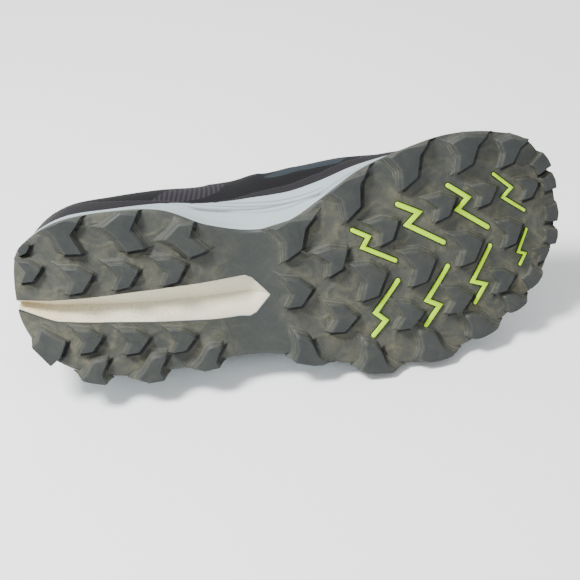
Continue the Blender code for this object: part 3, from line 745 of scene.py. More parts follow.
@dataclass(frozen=True)
class CarbonRubber:
    """Carbon rubber of the tread: slate where it rubs clean, with dry trail dust in its scoops, and painted
    shade beside the lugs.
    """

    rubbed: tuple = ("#1c2021", "#2f3434")
    hollow: tuple = ("#292d2c", "#363a38")
    dust: tuple = ("#454439", "#696757")
    fold: str = "#6f6d5f"
    scuff: str = "#474c4d"
    # Black of the painted shade beside the lugs' steep sides and round the inlays
    shade: str = "#0b0c0d"

    def material(self) -> Material:
        """Build its nodes, which read the tread's masks.

        Returns:
            The material.
        """
        look = Look("carbon_rubber", Specular_IOR_Level=0.35)
        cloudy = look.add("TexNoise", Vector=look.place, Scale=60.0, Detail=5.0, Roughness=0.62)
        speckle = look.add("TexNoise", Vector=look.place, Scale=1100.0, Detail=2.0)
        # Dust lies in wisps 5 to 15 mm long, drawn out across the sole
        wisp = look.add("TexNoise", Vector=look.place, Scale=95.0, Detail=5.0, Roughness=0.68,
                        Distortion=1.4)
        rubbed = look.add("Mix", RGBA, Factor=cloudy, **tints(self.rubbed))
        hollow = look.add("Mix", RGBA, Factor=cloudy, **tints(self.hollow))
        clean = look.add("Mix", RGBA, Factor=look.mask("high"), A=hollow, B=rubbed)
        brown = look.add("Mix", RGBA, Factor=wisp, **tints(self.dust))
        settled = look.add("MapRange", EASED, Value=wisp, **ranged(0.26, 0.70, 0.20, 1.0))
        low = look.add("Math", CLAMPED, Value=look.mask("high"), Value_001=-0.6, Value_002=1.0)
        share = look.add("Math", TIMES, Value=look.mask("dust"), Value_001=low)
        share = look.add("Math", TIMES, Value=share, Value_001=settled)
        dusty = look.add("Mix", RGBA, Factor=share, A=clean, B=brown)
        # Fine light lines 1.4 mm apart run along a lug's heel side, where the mould steps down
        fold = look.add("Math", {"operation": "PINGPONG"}, Value=look.mask("near"), Value_001=0.7)
        line = look.add("MapRange", EASED, Value=fold, **ranged(0.50, 0.68, 0.0, 0.6))
        line = look.add("Math", TIMES, Value=line, Value_001=look.mask("sweep"))
        line = look.add("Math", TIMES, Value=line, Value_001=settled)
        colour = look.add("Mix", RGBA, Factor=line, A=dusty, B=linear(self.fold))
        scuffed = look.add("Math", TIMES, Value=look.mask("worn"), Value_001=cloudy)
        colour = look.add("Mix", RGBA, Factor=scuffed, A=colour, B=linear(self.scuff))
        # Painted shadow: black lines 1 mm wide under the lugs' steep sides, and painted shade round the
        # inlays
        under = look.add("MapRange", EASED, Value=look.mask("near"), **ranged(2.0, 3.0, 0.97, 0.0))
        under = look.add("Math", TIMES, Value=under, Value_001=look.mask("shadow_side"))
        raised = look.add("Math", CLAMPED, Value=look.mask("high"), Value_001=-2.5, Value_002=1.0)
        under = look.add("Math", TIMES, Value=under, Value_001=raised)
        inlay_shadow = look.add("MapRange", EASED, Value=look.mask("inlaid"), **ranged(0.4, 1.0, 0.8, 0.0))
        painted_shadow = look.add("Math", {"operation": "MAXIMUM"}, Value=under, Value_001=inlay_shadow)
        colour = look.add("Mix", RGBA, Factor=painted_shadow, A=colour, B=linear(self.shade))
        colour = look.add("Mix", {"data_type": "RGBA", "blend_type": "OVERLAY"}, Factor=0.2, A=colour,
                          B=speckle)
        rough = look.add("MapRange", Value=share, **ranged(0.0, 0.8, 0.5, 0.92))
        grain = look.add("Math", {"operation": "MULTIPLY_ADD"}, Value=wisp, Value_001=1.2, Value_002=speckle)
        bump = look.add("Bump", Height=grain, Strength=0.3, Distance=0.22 * MM)
        ledge = look.add("Bump", Height=line, Strength=0.5, Distance=0.35 * MM, Normal=bump)
        return look.finish(Base_Color=colour, Roughness=rough, Normal=ledge)


@dataclass(frozen=True)
class LimeRubber:
    """Lime inlay rubber: saturated, with fine moulding grain and a little rubbed-in dirt."""

    lime: tuple = ("#b4e600", "#98ba08")

    def material(self) -> Material:
        """Build its nodes.

        Returns:
            The material.
        """
        look = Look("lime_rubber", Specular_IOR_Level=0.2)
        grime = look.add("TexNoise", Vector=look.place, Scale=160.0, Detail=4.0)
        share = look.add("MapRange", EASED, Value=grime, **ranged(0.55, 0.75, 0.0, 0.5))
        colour = look.add("Mix", RGBA, Factor=share, **tints(self.lime))
        fine = look.add("TexNoise", Vector=look.place, Scale=1500.0, Detail=2.0)
        bump = look.add("Bump", Height=fine, Strength=0.3, Distance=0.15 * MM)
        rough = look.add("MapRange", Value=grime, **ranged(0.3, 0.7, 0.45, 0.7))
        return look.finish(Base_Color=colour, Roughness=rough, Normal=bump)


class Slot(Enum):
    """Material slots of the record."""

    RUBBER = "rubber"
    FOAM = "foam"
    LINER = "liner"
    MESH_UPPER = "mesh_upper"
    PADDING = "padding"
    LACE = "lace"


def put(mesh: Mesh, materials: Sequence[Material],
        stands_for: str = "", sharp: float = 0.0) -> Object:
    """Lay a mesh down as the shoe lies and make it a piece of it.

    Args:
        mesh: The mesh, in the shoe's own axes; its name is the piece's.
        materials: A material for each of its slots.
        stands_for: The CAD node that it stands for.
        sharp: Angle in degrees from which its edges stay sharp, or 0 for none.

    Returns:
        The piece.
    """
    mesh.transform(POSE)
    for material in materials:
        mesh.materials.append(material)
    mesh.shade_smooth()
    if sharp:
        mesh.set_sharp_from_angle(angle=math.radians(sharp))
    piece = linked(mesh.name, mesh)
    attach(piece, "root")
    if stands_for:
        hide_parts(stands_for)
    log.info("%s: %d faces", piece.name, len(mesh.polygons))
    return piece


def outline_distance(points: Array, outline: Array) -> Array:
    """Distance of points from a closed outline.

    Args:
        points: Points in the plane, in their last axis.
        outline: The outline's corners.

    Returns:
        The distances, below 0 inside.
    """
    after = np.roll(outline, -1, axis=0)
    best = np.full(points.shape[:-1], np.inf)
    inside = np.zeros(points.shape[:-1], bool)
    x, y = points[..., 0], points[..., 1]
    for (ax, ay), (bx, by) in zip(outline, after):
        length = (bx - ax) ** 2 + (by - ay) ** 2
        share = np.clip(((x - ax) * (bx - ax) + (y - ay) * (by - ay)) / length, 0, 1)
        best = np.minimum(best, np.hypot(x - ax - share * (bx - ax), y - ay - share * (by - ay)))
        if ay != by:
            inside ^= ((ay > y) != (by > y)) & (x < (bx - ax) * (y - ay) / (by - ay) + ax)
    return np.where(inside, -best, best)


@dataclass
class Outline:
    """A closed outline in the plane with straight edges, which can be offset and rounded."""

    corners: Array

    def __post_init__(self) -> None:
        """Turn it so that its inside is on its left."""
        x, y = self.corners[:, 0], self.corners[:, 1]
        if np.sum(x * np.roll(y, -1) - np.roll(x, -1) * y) < 0:
            self.corners = self.corners[::-1]

    def outward(self) -> Array:
        """Directions out of each edge."""
        edges = unit(np.roll(self.corners, -1, axis=0) - self.corners)
        return np.stack([edges[:, 1], -edges[:, 0]], -1)

    def offset(self, distances: Array) -> Array:
        """Move each edge out by its own distance.

        Args:
            distances: The distances, below 0 to move it in.

        Returns:
            The new corners.
        """
        normals = self.outward()
        levels = np.einsum("ij,ij->i", normals, self.corners) + distances
        made = []
        for index in range(len(self.corners)):
            pair = np.array([normals[index - 1], normals[index]])
            made.append(np.linalg.solve(pair, [levels[index - 1], levels[index]]))
        return np.array(made)


def rounded(corners: Array, radius: float) -> Array:
    """Round an outline's corners.

    Args:
        corners: The corners.
        radius: How far from a corner its rounding starts; short edges get less.

    Returns:
        Four points for each corner.
    """
    before, after = np.roll(corners, 1, axis=0), np.roll(corners, -1, axis=0)
    made = []
    for corner, last, following in zip(corners, before, after):
        pair = [corner + (other - corner) * min(radius / np.linalg.norm(other - corner), 0.42)
                for other in (last, following)]
        for share in (0, 1 / 3, 2 / 3, 1):
            made.append((1 - share) ** 2 * pair[0] + 2 * share * (1 - share) * corner
                        + share ** 2 * pair[1])
    return np.array(made)


class LugStep(NamedTuple):
    """One ring of a lug's side, from its top down."""

    steep_out: float    # how far out it lies on a steep side, in millimetres
    steep_down: float   # how far down, as a share of the lug's height
    skirt_out: float    # the same on a side with a skirt, as a share of the skirt's length
    skirt_down: float
    high: float         # how clean it is rubbed
    worn: float         # how scuffed its edge is


LUG_STEPS = tuple(LugStep(*row) for row in (
    (-0.60, 0.000, -0.16, 0.000, 1.00, 0.00),
    (-0.20, 0.006, -0.05, 0.010, 1.00, 0.25),
    (0.00, 0.050, 0.00, 0.035, 1.00, 0.55),
    (0.06, 0.180, 0.10, 0.120, 0.60, 0.15),
    (0.16, 0.480, 0.26, 0.330, 0.30, 0.00),
    (0.30, 0.780, 0.46, 0.570, 0.12, 0.00),
    (0.48, 0.960, 0.72, 0.800, 0.00, 0.00),
    (0.70, 1.080, 1.08, 1.000, 0.00, 0.00),
))

# How far the lugs may stand over the rubber's edge, in millimetres, at each station
OVERHANG_LATERAL = (0.4, 1.2, 2.6, 3.8, 4.0, 3.8, 3.4, 3.0, 3.2, 3.6, 3.8, 3.8, 3.6, 3.4, 3.2, 3.2)
OVERHANG_MEDIAL = (0.4, 0.2, 0.1, 0.1, 0.1, 0.1, 0.1, 0.1, 0.1, 0.1, 0.1, 0.3, 0.8, 1.8, 2.8, 3.2)
LUG_ROUNDING = 0.7 * MM
EDGE_LUG_ROUNDING = 3.2 * MM

TREAD_MASKS = ("high", "near", "dust", "worn", "sweep", "shadow_side", "inlaid")

# Lugs are steep on the sides that face the toe and the lateral side. They blend into the rubber on
# the others.
BLEND_WAY = np.array((-0.72, -0.69))
BLEND_FROM = -0.62
BLEND_RANGE = 0.45

# A distance mask's value for what is nowhere near
FAR = 50.0

# How far the rubber wraps out over the foam's edge, in millimetres, at each station
BRIM_LATERAL = (0.0,) * 11 + (0.3, 0.8, 1.4, 1.9, 2.0)
BRIM_MEDIAL = (0.0,) * 12 + (0.4, 1.0, 1.7, 2.0)


def brim(place: Array) -> Array:
    """Edge of the rubber."""
    wrap = LINES.read(Lines.around(BRIM_LATERAL, BRIM_MEDIAL) * MM, place)
    return LINES.edge(place) + LINES.outward(place) * np.maximum(wrap, 0.0)[:, None]


@dataclass
class Outsole:
    """The rubber: a curved plate with soft scoops, its lugs, and the heel's split."""

    rows: int = 360
    middle_columns: int = 112
    edge_shares: tuple = (0.0, 0.004, 0.010, 0.020)
    edge_rounding: float = 0.9 * MM
    edge_round_width: float = 1.6 * MM
    skirt: float = 3.6 * MM
    sweep_rise: float = 1.2 * MM      # where the rubber runs up to a lug's blended side
    sweep_width: float = 3.4 * MM
    scoop_depth: float = 0.35 * MM    # under a lug's steep side
    scoop_width: float = 3.2 * MM
    crest_rise: float = 0.50 * MM     # of the dunes between the lugs
    crest_share: float = 0.16
    broad_rise: float = 0.42 * MM
    dune_waves: tuple = (34, 27, 22, 18, 15)    # lengths in millimetres
    inlay_rings: tuple = ((-0.55, 1.45), (-0.25, 1.40), (-0.04, 1.15), (0.05, 0.60), (0.05, -1.0))
    slope_step: float = 0.4 * MM

    def __post_init__(self) -> None:
        """Lay out the lugs, and the outline that they keep to."""
        self.outlines = [self.lug_outline(lug) for lug in LUGS]
        place = np.linspace(0, TURN, 1440, endpoint=False)
        self.edge = brim(place)
        self.edge_out = LINES.outward(place)
        self.over = LINES.read(Lines.around(OVERHANG_LATERAL, OVERHANG_MEDIAL) * MM, place)

    def held(self, plan: Array, low: float) -> Array:
        """Pull a lug's points back to the outline that lugs keep to, which narrows on their way down.

        Args:
            plan: The points, in the plane of the ground.
            low: Share of the way down.

        Returns:
            The points that it leaves.
        """
        limit = self.edge + self.edge_out * (self.over * (1 - 0.85 * low))[:, None]
        nearest = np.argmin(np.linalg.norm(plan[:, None] - limit, axis=-1), axis=1)
        out = self.edge_out[nearest]
        beyond = np.maximum(np.sum((plan - limit[nearest]) * out, axis=-1, keepdims=True), 0.0)
        return plan - out * beyond

    @staticmethod
    def lug_outline(lug: Lug) -> Outline:
        """Outline of a lug's top, in the plane of the ground.

        Args:
            lug: Its row of the table.

        Returns:
            The outline.
        """
        shape = np.array(LUG_OUTLINES[lug.outline]) * (lug.length, lug.width) * LUG_SIZE
        if lug.mirrored:
            shape[:, 1] *= -1
        turn = math.radians(lug.turn)
        spin = np.array(((math.cos(turn), math.sin(turn)), (-math.sin(turn), math.cos(turn))))
        middle = (lug.along * SOLE_LENGTH, lug.across * float(width_at(lug.along)))
        return Outline(shape @ spin + middle)

    def near(self, points: Array) -> Array:
        """Distance to the nearest lug's top.

        Args:
            points: Points in the plane.

        Returns:
            The distances, in metres.
        """
        best = np.full(points.shape[:-1], np.inf)
        for outline in self.outlines:
            best = np.minimum(best, outline_distance(points, outline.corners))
        return best

    def dunes(self, points: Array, seed: int) -> Array:
        """Soft unevenness, with waves of 15 to 34 mm.

        Args:
            points: Points in the plane.
            seed: Which unevenness.

        Returns:
            Values between -1 and 1.
        """
        random = np.random.default_rng(seed)
        total = np.zeros(points.shape[:-1])
        for wave in self.dune_waves:
            way, shift = random.uniform(0, 2 * np.pi, 2)
            run = points[..., 0] * math.cos(way) + points[..., 1] * math.sin(way)
            bend = np.sin(points[..., 1] * 110 + shift) * 0.8
            total += np.sin(run * 2 * np.pi / (wave * MM) + shift + bend)
        return total / 3.5

    @staticmethod
    def dust(points: Array) -> Array:
        """How much dust lies on the sole: little at the waist and the medial edge.

        Args:
            points: Points in the plane.

        Returns:
            Shares.
        """
        along = points[..., 0] / SOLE_LENGTH
        waist = ridge(along - 0.44, 0.075)
        across = points[..., 1] / width_at(along)
        medial = smooth((-across - 0.26) / 0.16)
        return np.clip(1.0 - 0.9 * waist - 0.4 * medial, 0.05, 1.0)

    def plan(self) -> Array:
        """Points of the plate in the plane.

        Returns:
            Rows from heel to toe, and columns from the medial to the lateral side.
        """
        steps = np.linspace(0, 1, self.rows)
        length = float(brim(np.array([TOE]))[0, 0])
        x = length * (0.5 - 0.5 * np.cos(np.pi * steps)) * 0.45 + length * steps * 0.55
        sides = []
        for places in (np.linspace(TURN, TOE, 3000), np.linspace(0, TOE, 3000)):
            edge = brim(places)
            sides.append(np.interp(x, np.maximum.accumulate(edge[:, 0]), edge[:, 1]))
        middle = np.linspace(0.035, 0.965, self.middle_columns)
        edges = np.array(self.edge_shares)
        share = np.concatenate([edges, middle, 1 - edges[::-1]])
        y = mix(sides[0][:, None], sides[1][:, None], share[None, :])
        return np.stack([np.broadcast_to(x[:, None], y.shape), y], -1)

    def plate(self) -> Mesh:
        """Make the plate under the lugs.

        Returns:
            Its closed mesh, without the channel.
        """
        plan = self.plan()
        near = np.maximum(self.near(plan), 0.0)
        ahead = np.maximum(self.near(plan + BLEND_WAY * self.slope_step), 0.0)
        facing = smooth(((ahead - near) / self.slope_step - BLEND_FROM) / BLEND_RANGE)
        sweep = np.exp(-near / self.sweep_width) * facing
        hollow = ridge(near, self.scoop_width) * (1 - facing)
        inlaid = np.min([outline_distance(plan, self.inlay_outline(inlay, 0.0)) for inlay in INLAYS],
                        axis=0)
        crest = ridge(self.dunes(plan, SEED), self.crest_share)
        broad = self.dunes(plan, SEED + 1)
        width = np.ptp(plan[..., 1], axis=1, keepdims=True)
        inset = np.minimum(plan[..., 1] - plan[:, :1, 1], plan[:, -1:, 1] - plan[..., 1])
        rounding = self.edge_rounding * (1 - smooth(inset / self.edge_round_width))
        fade = smooth(inset / (5 * MM)) * smooth(width / (30 * MM))
        # The waist is smooth, and so is the rubber round a zigzag
        calm = 1 - 0.8 * ridge(plan[..., 0] / SOLE_LENGTH - 0.43, 0.06)
        calm = calm * smooth((inlaid - 0.5 * MM) / (3.5 * MM))
        beside = self.sweep_rise * sweep - self.scoop_depth * hollow
        relief = beside * fade * smooth(inlaid / (1.5 * MM)) - rounding
        relief += (self.crest_rise * crest + self.broad_rise * broad) * calm * fade
        z = tread_rise(plan[..., 0])
        # Dust lies thicker on the lugs' blended sides and the dunes' crests, and thinner beyond the steep
        # sides, which paints their shade
        dust_and_shade = 0.50 + 0.35 * sweep + 0.38 * crest + 0.34 * broad - 0.20 * hollow
        none = np.zeros_like(near)
        dust = self.dust(plan) * np.clip(dust_and_shade, 0, 1)
        # The steep sides' mask marks where the lugs cast shade, which the material paints black
        masks = {"high": none, "near": near / MM, "worn": none, "dust": dust, "sweep": sweep,
                 "shadow_side": 1 - facing, "inlaid": inlaid / MM}
        under = Sheet(np.concatenate([plan, (z - relief)[..., None]], -1), plan, masks=masks, flipped=True)
        over = Sheet(np.concatenate([plan, (z + RUBBER)[..., None]], -1), plan, masks=masks)
        mesh = joined("tread_plate", [under.to_mesh("under"), over.to_mesh("over")])
        return closed(mesh, *plan.shape[:2])

    def lug_mesh(self, bm: BMesh, outline: Outline, lug: Lug) -> None:
        """Add one lug: a flat top, a rubbed edge, steep sides, and a skirt where it faces the heel.

        Args:
            bm: The mesh that it goes to.
            outline: Outline of its top.
            lug: Its row of the table.
        """
        layers = [bm.verts.layers.float[name] for name in TREAD_MASKS]
        skirt = smooth((outline.outward() @ BLEND_WAY - BLEND_FROM) / BLEND_RANGE)
        reach = self.skirt * min(lug.length, lug.width) / 0.7
        blend = np.stack([np.roll(skirt, 1), mix(np.roll(skirt, 1), skirt, 1 / 3),
                          mix(np.roll(skirt, 1), skirt, 2 / 3), skirt], -1).ravel()
        dust = float(self.dust(np.array((lug.along * SOLE_LENGTH, lug.across * width_at(lug.along)))))
        low = LUG_HEIGHT * (1 - min(max(lug.length / 0.60, 0.62), 1.0))
        radius = EDGE_LUG_ROUNDING if lug.mirrored else LUG_ROUNDING
        rings = []
        for step in LUG_STEPS:
            out = mix(step.steep_out * MM, step.skirt_out * reach, skirt)
            plan = self.held(rounded(outline.offset(out), radius), min(step.skirt_down, 1.0))
            down = mix(step.steep_down, step.skirt_down, blend) * (LUG_HEIGHT - low)
            z = tread_rise(plan[:, 0]) - LUG_HEIGHT + low + down
            ring = [bm.verts.new(point) for point in np.concatenate([plan, z[:, None]], -1)]
            for vert, share in zip(ring, blend):
                near = max(step.skirt_out, 0.0) * reach * 1000 * share
                # Where share is 0, on the steep sides, these values make the material paint them black as
                # shade
                values = (step.high, near, dust * mix(0.2, 0.5, share), step.worn, share * (1 - step.high),
                          1 - share, FAR)
                for layer, value in zip(layers, values):
                    vert[layer] = value
            rings.append(ring)
        plan = np.array([vert.co[:2] for vert in rings[-1]])
        foot = [bm.verts.new((*point, float(tread_rise(point[0])) + RUBBER * 0.9)) for point in plan]
        bridge(bm, [*rings, foot])

    def lugs(self) -> Mesh:
        """Make all lugs.

        Returns:
            Their mesh.
        """
        bm = bmesh.new()
        for name in TREAD_MASKS:
            bm.verts.layers.float.new(name)
        for outline, lug in zip(self.outlines, LUGS):
            self.lug_mesh(bm, outline, lug)
        return finished(bm, bpy.data.meshes.new("tread_lugs"))

    def build(self, cutter: Object) -> None:
        """Make the rubber's pieces.

        Args:
            cutter: What takes the channel out.
        """
        rubber = CarbonRubber().material()
        put(cut(self.plate(), cutter), [rubber], "outsole", sharp=50)
        put(self.lugs(), [rubber], sharp=38)
        put(self.inlays(), [LimeRubber().material()], sharp=60)

    @staticmethod
    def inlay_outline(inlay: Inlay, grown: float) -> Array:
        """Outline of a zigzag with round ends and crisp corners.

        Args:
            inlay: Its row of the table.
            grown: How far it is grown, in metres.

        Returns:
            The outline's points.
        """
        line = np.array(inlay.points) * MM
        half = inlay.width * MM / 2 + grown
        ways = unit(np.diff(line, axis=0))
        sides = np.stack([-ways[:, 1], ways[:, 0]], -1)
        left, right = [], []
        for index in range(1, len(line) - 1):
            middle = unit(sides[index - 1] + sides[index])
            reach = half / max(float(middle @ sides[index]), 0.35)
            left.append(line[index] + middle * reach)
            right.append(line[index] - middle * reach)
        ends = []
        for centre, way in ((line[-1], ways[-1]), (line[0], -ways[0])):
            side = np.array((-way[1], way[0]))
            ends.append([centre + half * (side * math.cos(a) + way * math.sin(a))
                         for a in np.linspace(0, np.pi, 9)])
        return np.array(left + ends[0] + right[::-1] + ends[1])

    def inlays(self) -> Mesh:
        """Make the bright zigzags, rounded on top and sunk in the plate.

        Returns:
            Their mesh.
        """
        bm = bmesh.new()
        for inlay in INLAYS:
            rings = []
            for grown, lift in self.inlay_rings:
                outline = self.inlay_outline(inlay, grown * MM)
                rings.append([bm.verts.new((x, y, float(tread_rise(x)) - lift * MM)) for x, y in outline])
            bridge(bm, rings)
        return finished(bm, bpy.data.meshes.new("flex_inlays"))


def channel_cutter() -> Object:
    """Make the wedge that takes the heel's channel out of the rubber and the foam.

    Returns:
        Its object, which no render shows.
    """
    bm = bmesh.new()
    sections = []
    for row in CHANNEL:
        x = row.along * SOLE_LENGTH
        low = float(foam_underside(max(x, 0.0))) - GAP / 2
        medial, crease, lateral = (share * HEEL_WIDTH for share in (row.medial, row.crease, row.lateral))
        section = [(x, medial, -LUG_HEIGHT), (x, medial, low), (x, crease, low + row.depth * CHANNEL_DEPTH),
                   (x, lateral, low), (x, lateral, -LUG_HEIGHT)]
        sections.append([bm.verts.new(point) for point in section])
    bridge(bm, sections)
    for face in bm.faces:
        face.material_index = 1
    return linked("channel", finished(bm, bpy.data.meshes.new("channel")))


def cut(mesh: Mesh, cutter: Object) -> Mesh:
    """Cut a mesh with a cutter.

    Args:
        mesh: The closed mesh.
        cutter: The object that cuts it; its faces leave their material slot on the cut.

    Returns:
        The cut mesh, under the same name.
    """
    body = linked(mesh.name + "_uncut", mesh)
    modifier = body.modifiers.new("cut", "BOOLEAN")
    modifier.operation, modifier.solver, modifier.object = "DIFFERENCE", "EXACT", cutter
    return baked(body, mesh.name)


def slab(name: str, top: Sheet, under: Array) -> Mesh:
    """Make a closed mesh from a grid, the points of the same grid moved down, and a wall round both."""
    low = Sheet(under, top.run, flipped=not top.flipped, masks=top.masks)
    return closed(joined(name, [top.to_mesh("top"), low.to_mesh("low")]), *top.points.shape[:2])


def capped(name: str, stack: Sheet) -> Mesh:
    """Make a closed mesh from rings round the foot.

    Args:
        name: Name of the mesh.
        stack: The rings, from one end to the other.

    Returns:
        The mesh, closed across from its lateral to its medial side.
    """
    mesh = stack.to_mesh(name)
    rows, columns = stack.points.shape[:2]
    bm = bmesh.new()
    bm.from_mesh(mesh)
    bm.verts.ensure_lookup_table()
    for first in (0, (rows - 1) * columns):
        ring = [bm.verts[first + k] for k in range(columns)]
        for k in range(columns // 2):
            corners = [ring[k], ring[k + 1], ring[-k - 1], ring[-k % columns]]
            bm.faces.new(list(dict.fromkeys(corners)))
    return finished(bm, mesh)


def resampled(points: Array, count: int) -> Array:
    """Read a line at even steps on a smooth curve through its points.

    Args:
        points: The points, in the first axis.
        count: How many steps.

    Returns:
        The new points.
    """
    size = len(points)
    place = np.linspace(0, size - 1, count)
    index = np.minimum(np.floor(place).astype(int), size - 2)
    share = (place - index).reshape(-1, *([1] * (points.ndim - 1)))
    b, c = points[index], points[index + 1]
    a = np.where((index > 0).reshape(share.shape), points[np.maximum(index - 1, 0)], 2 * b - c)
    d = np.where((index < size - 2).reshape(share.shape), points[np.minimum(index + 2, size - 1)],
                 2 * c - b)
    return curve(a, b, c, d, share)


@dataclass(frozen=True)
class MouldedFoam:
    """Midsole foam: pale blue-grey skin with the faint skin grain of a heated mould."""

    skin: tuple = ("#98a5a9", "#a7b2b5")
    smudge: str = "#92978f"
    groove: str = "#4f5b61"

    def material(self) -> Material:
        """Build its nodes, which read the mask of the moulded lines.

        Returns:
            The material.
        """
        look = Look("moulded_foam", Specular_IOR_Level=0.4)
        broad = look.add("TexNoise", Vector=look.place, Scale=30.0, Detail=3.0)
        fine = look.add("TexNoise", Vector=look.place, Scale=2200.0, Detail=2.0)
        colour = look.add("Mix", RGBA, Factor=broad, **tints(self.skin))
        smudge = look.add("MapRange", EASED, Value=broad, **ranged(0.58, 0.8, 0.0, 0.35))
        colour = look.add("Mix", RGBA, Factor=smudge, A=colour, B=linear(self.smudge))
        # Painted shade, with a little dirt, darkens the moulded lines
        line = look.add("Math", TIMES, Value=look.mask("groove"), Value_001=0.9)
        colour = look.add("Mix", RGBA, Factor=line, A=colour, B=linear(self.groove))
        bump = look.add("Bump", Height=fine, Strength=0.25, Distance=0.12 * MM)
        return look.finish(Base_Color=colour, Normal=bump)


@dataclass(frozen=True)
class ChannelFoam:
    """Foam in the heel's channel: cream, yellower towards the heel, with trodden-in brown specks."""

    cream: tuple = ("#d3cdb4", "#e0dac0")
    yellowed: str = "#d8c08e"
    dirt: str = "#8f7f68"

    def material(self) -> Material:
        """Build its nodes.

        Returns:
            The material.
        """
        look = Look("channel_foam", Roughness=0.75, Specular_IOR_Level=0.3)
        broad = look.add("TexNoise", Vector=look.place, Scale=38.0, Detail=4.0)
        speck = look.add("TexNoise", Vector=look.place, Scale=1300.0, Detail=3.0, Roughness=0.7)
        colour = look.add("Mix", RGBA, Factor=broad, **tints(self.cream))
        along = look.add("SeparateXYZ", Vector=look.place).outputs["X"]
        back = look.add("MapRange", Value=along, **ranged(-0.10, -0.155, 0.0, 0.55))
        colour = look.add("Mix", RGBA, Factor=back, A=colour, B=linear(self.yellowed))
        heelward = look.add("MapRange", Value=along, **ranged(0.0, -0.13, 0.10, 0.75))
        specks = look.add("MapRange", EASED, Value=speck, **ranged(0.54, 0.66, 0.0, 1.0))
        dirt = look.add("Math", TIMES, Value=specks, Value_001=heelward)
        colour = look.add("Mix", RGBA, Factor=dirt, A=colour, B=linear(self.dirt))
        bump = look.add("Bump", Height=speck, Strength=0.4, Distance=0.2 * MM)
        return look.finish(Base_Color=colour, Normal=bump)


class WallLine(NamedTuple):
    """One fine moulded line on the medial wall of the foam."""

    points: tuple    # along the sole in millimetres, share of the wall's height
    depth: float     # millimetres
    width: float


WALL_LINES = (
    WallLine(((86, 1.0), (94, 0.82), (103, 0.70), (118, 0.60), (140, 0.54), (160, 0.47), (183, 0.20)),
             0.9, 0.75),
    WallLine(((100, 1.0), (107, 0.86), (116, 0.75), (129, 0.66), (146, 0.58), (160, 0.49)), 0.8, 0.7),
    WallLine(((113, 1.0), (121, 0.86), (132, 0.76), (146, 0.68), (160, 0.60), (176, 0.45)), 0.7, 0.7),
)


@dataclass
class Midsole:
    """The foam: flared side with moulded lines, rim, footbed and the heel's channel."""

    columns: int = 720
    rows_below: int = 26
    rows_above: int = 34
    foot_rounding: float = 0.7 * MM
    rim_rounding: float = 0.9 * MM

    def __post_init__(self) -> None:
        """Space the rings under and over the moulded step, in shares."""
        self.below = np.linspace(0, 1, self.rows_below) ** 1.2 * 0.99
        self.above = np.linspace(0.01, 0.97, self.rows_above)

    @staticmethod
    def groove(along: Array, height: Array, share: Array) -> Array:
        """How deep the fine lines cut into the medial wall.

        Args:
            along: Places along the sole, in metres.
            height: The wall's height there.
            share: Shares of that height.

        Returns:
            The depths, in metres.
        """
        spot = np.stack([along, height * share], -1)
        deepest = np.zeros(share.shape)
        for line in WALL_LINES:
            points = resampled(np.array(line.points), 200)
            levels = np.interp(points[:, 0] * MM, np.sort(along[0]), height[0][np.argsort(along[0])])
            path = np.stack([points[:, 0] * MM, points[:, 1] * levels], -1)
            distance = np.min(np.linalg.norm(spot[..., None, :] - path, axis=-1), axis=-1)
            deepest = np.maximum(deepest, line.depth * MM * ridge(distance, line.width * MM))
        return deepest

    def rings(self) -> tuple[Array, Array]:
        """Lay out the foam from its foot to its footbed.

        Returns:
            The rings' points, and how deep a moulded line cuts there, in millimetres.
        """
        place = np.arange(self.columns) * TURN / self.columns
        ledge = LINES.value("ledge", place)
        below = self.below[:, None]
        above = self.above[:, None]
        share = np.concatenate([ledge * below, mix(ledge, 1.0, above)])
        setback = np.concatenate([MOULD_STEP * smooth(below / 0.5) * np.ones_like(ledge),
                                  np.zeros((len(above), self.columns))])
        spread = np.broadcast_to(place, share.shape)
        plan = LINES.foam(spread, share)
        outward = LINES.outward(place)
        low, high = foam_underside(plan[..., 0]), LINES.rim(place)
        medial = (place > TOE)[None, :] * 1.0
        near_foot = self.foot_rounding * (1 - smooth(share / 0.08))
        near_rim = self.rim_rounding * smooth((share - 0.88) / 0.12) ** 2
        height = high - low
        dent = self.groove(plan[..., 0], height, share) * medial
        plan = plan - outward * (setback + near_foot + near_rim + dent)[..., None]
        side = np.concatenate([plan, mix(low, high, share)[..., None]], -1)
        inner = LINES.last(place) + outward * GAP
        rim_out = plan[-1] - outward * 0.5 * MM
        rings = [np.concatenate([rim_out, high[:, None] + 0.05 * MM], -1)]
        for drop in (0.0, 0.4):
            level = high - drop * MM
            shift = outward * (0.4 - drop) * MM
            rings.append(np.concatenate([inner + shift, level[:, None]], -1))
        rings.append(np.concatenate([inner, bed_height(inner[:, 0])[:, None]], -1))
        lines = np.concatenate([dent / MM, np.zeros((len(rings), self.columns))])
        return np.concatenate([side, np.array(rings)]), lines

    def build(self, cutter: Object) -> None:
        """Make the foam's piece.

        Args:
            cutter: What takes the channel out.
        """
        points, lines = self.rings()
        run = ring_run(points[self.rows_below], points)
        mesh = capped("foam_midsole", Sheet(points, run, wraps=True, masks={"groove": lines}))
        mesh = cut(mesh, cutter)
        put(mesh, [MouldedFoam().material(), ChannelFoam().material()], "midsole", sharp=40)


@dataclass(frozen=True)
class SockLiner:
    """Knitted cover of the insole: black with grey loops 1 mm apart, matt and slightly fuzzy."""

    loops: tuple = ("#3b3d42", "#17181b")

    def material(self) -> Material:
        """Build its nodes.

        Returns:
            The material.
        """
        look = Look("sock_liner", Roughness=0.95, Sheen_Weight=0.3, Sheen_Roughness=0.6)
        cell = look.add("VectorMath", TIMES, Vector=look.run(), Vector_001=(1000, 700, 1))
        loop = look.add("TexVoronoi", {"distance": "EUCLIDEAN"}, Vector=cell, Scale=1.0, Randomness=0.15)
        colour = look.add("Mix", RGBA, Factor=loop, **tints(self.loops))
        bump = look.add("Bump", {"invert": True}, Height=loop, Strength=0.6, Distance=0.4 * MM)
        return look.finish(Base_Color=colour, Normal=bump)


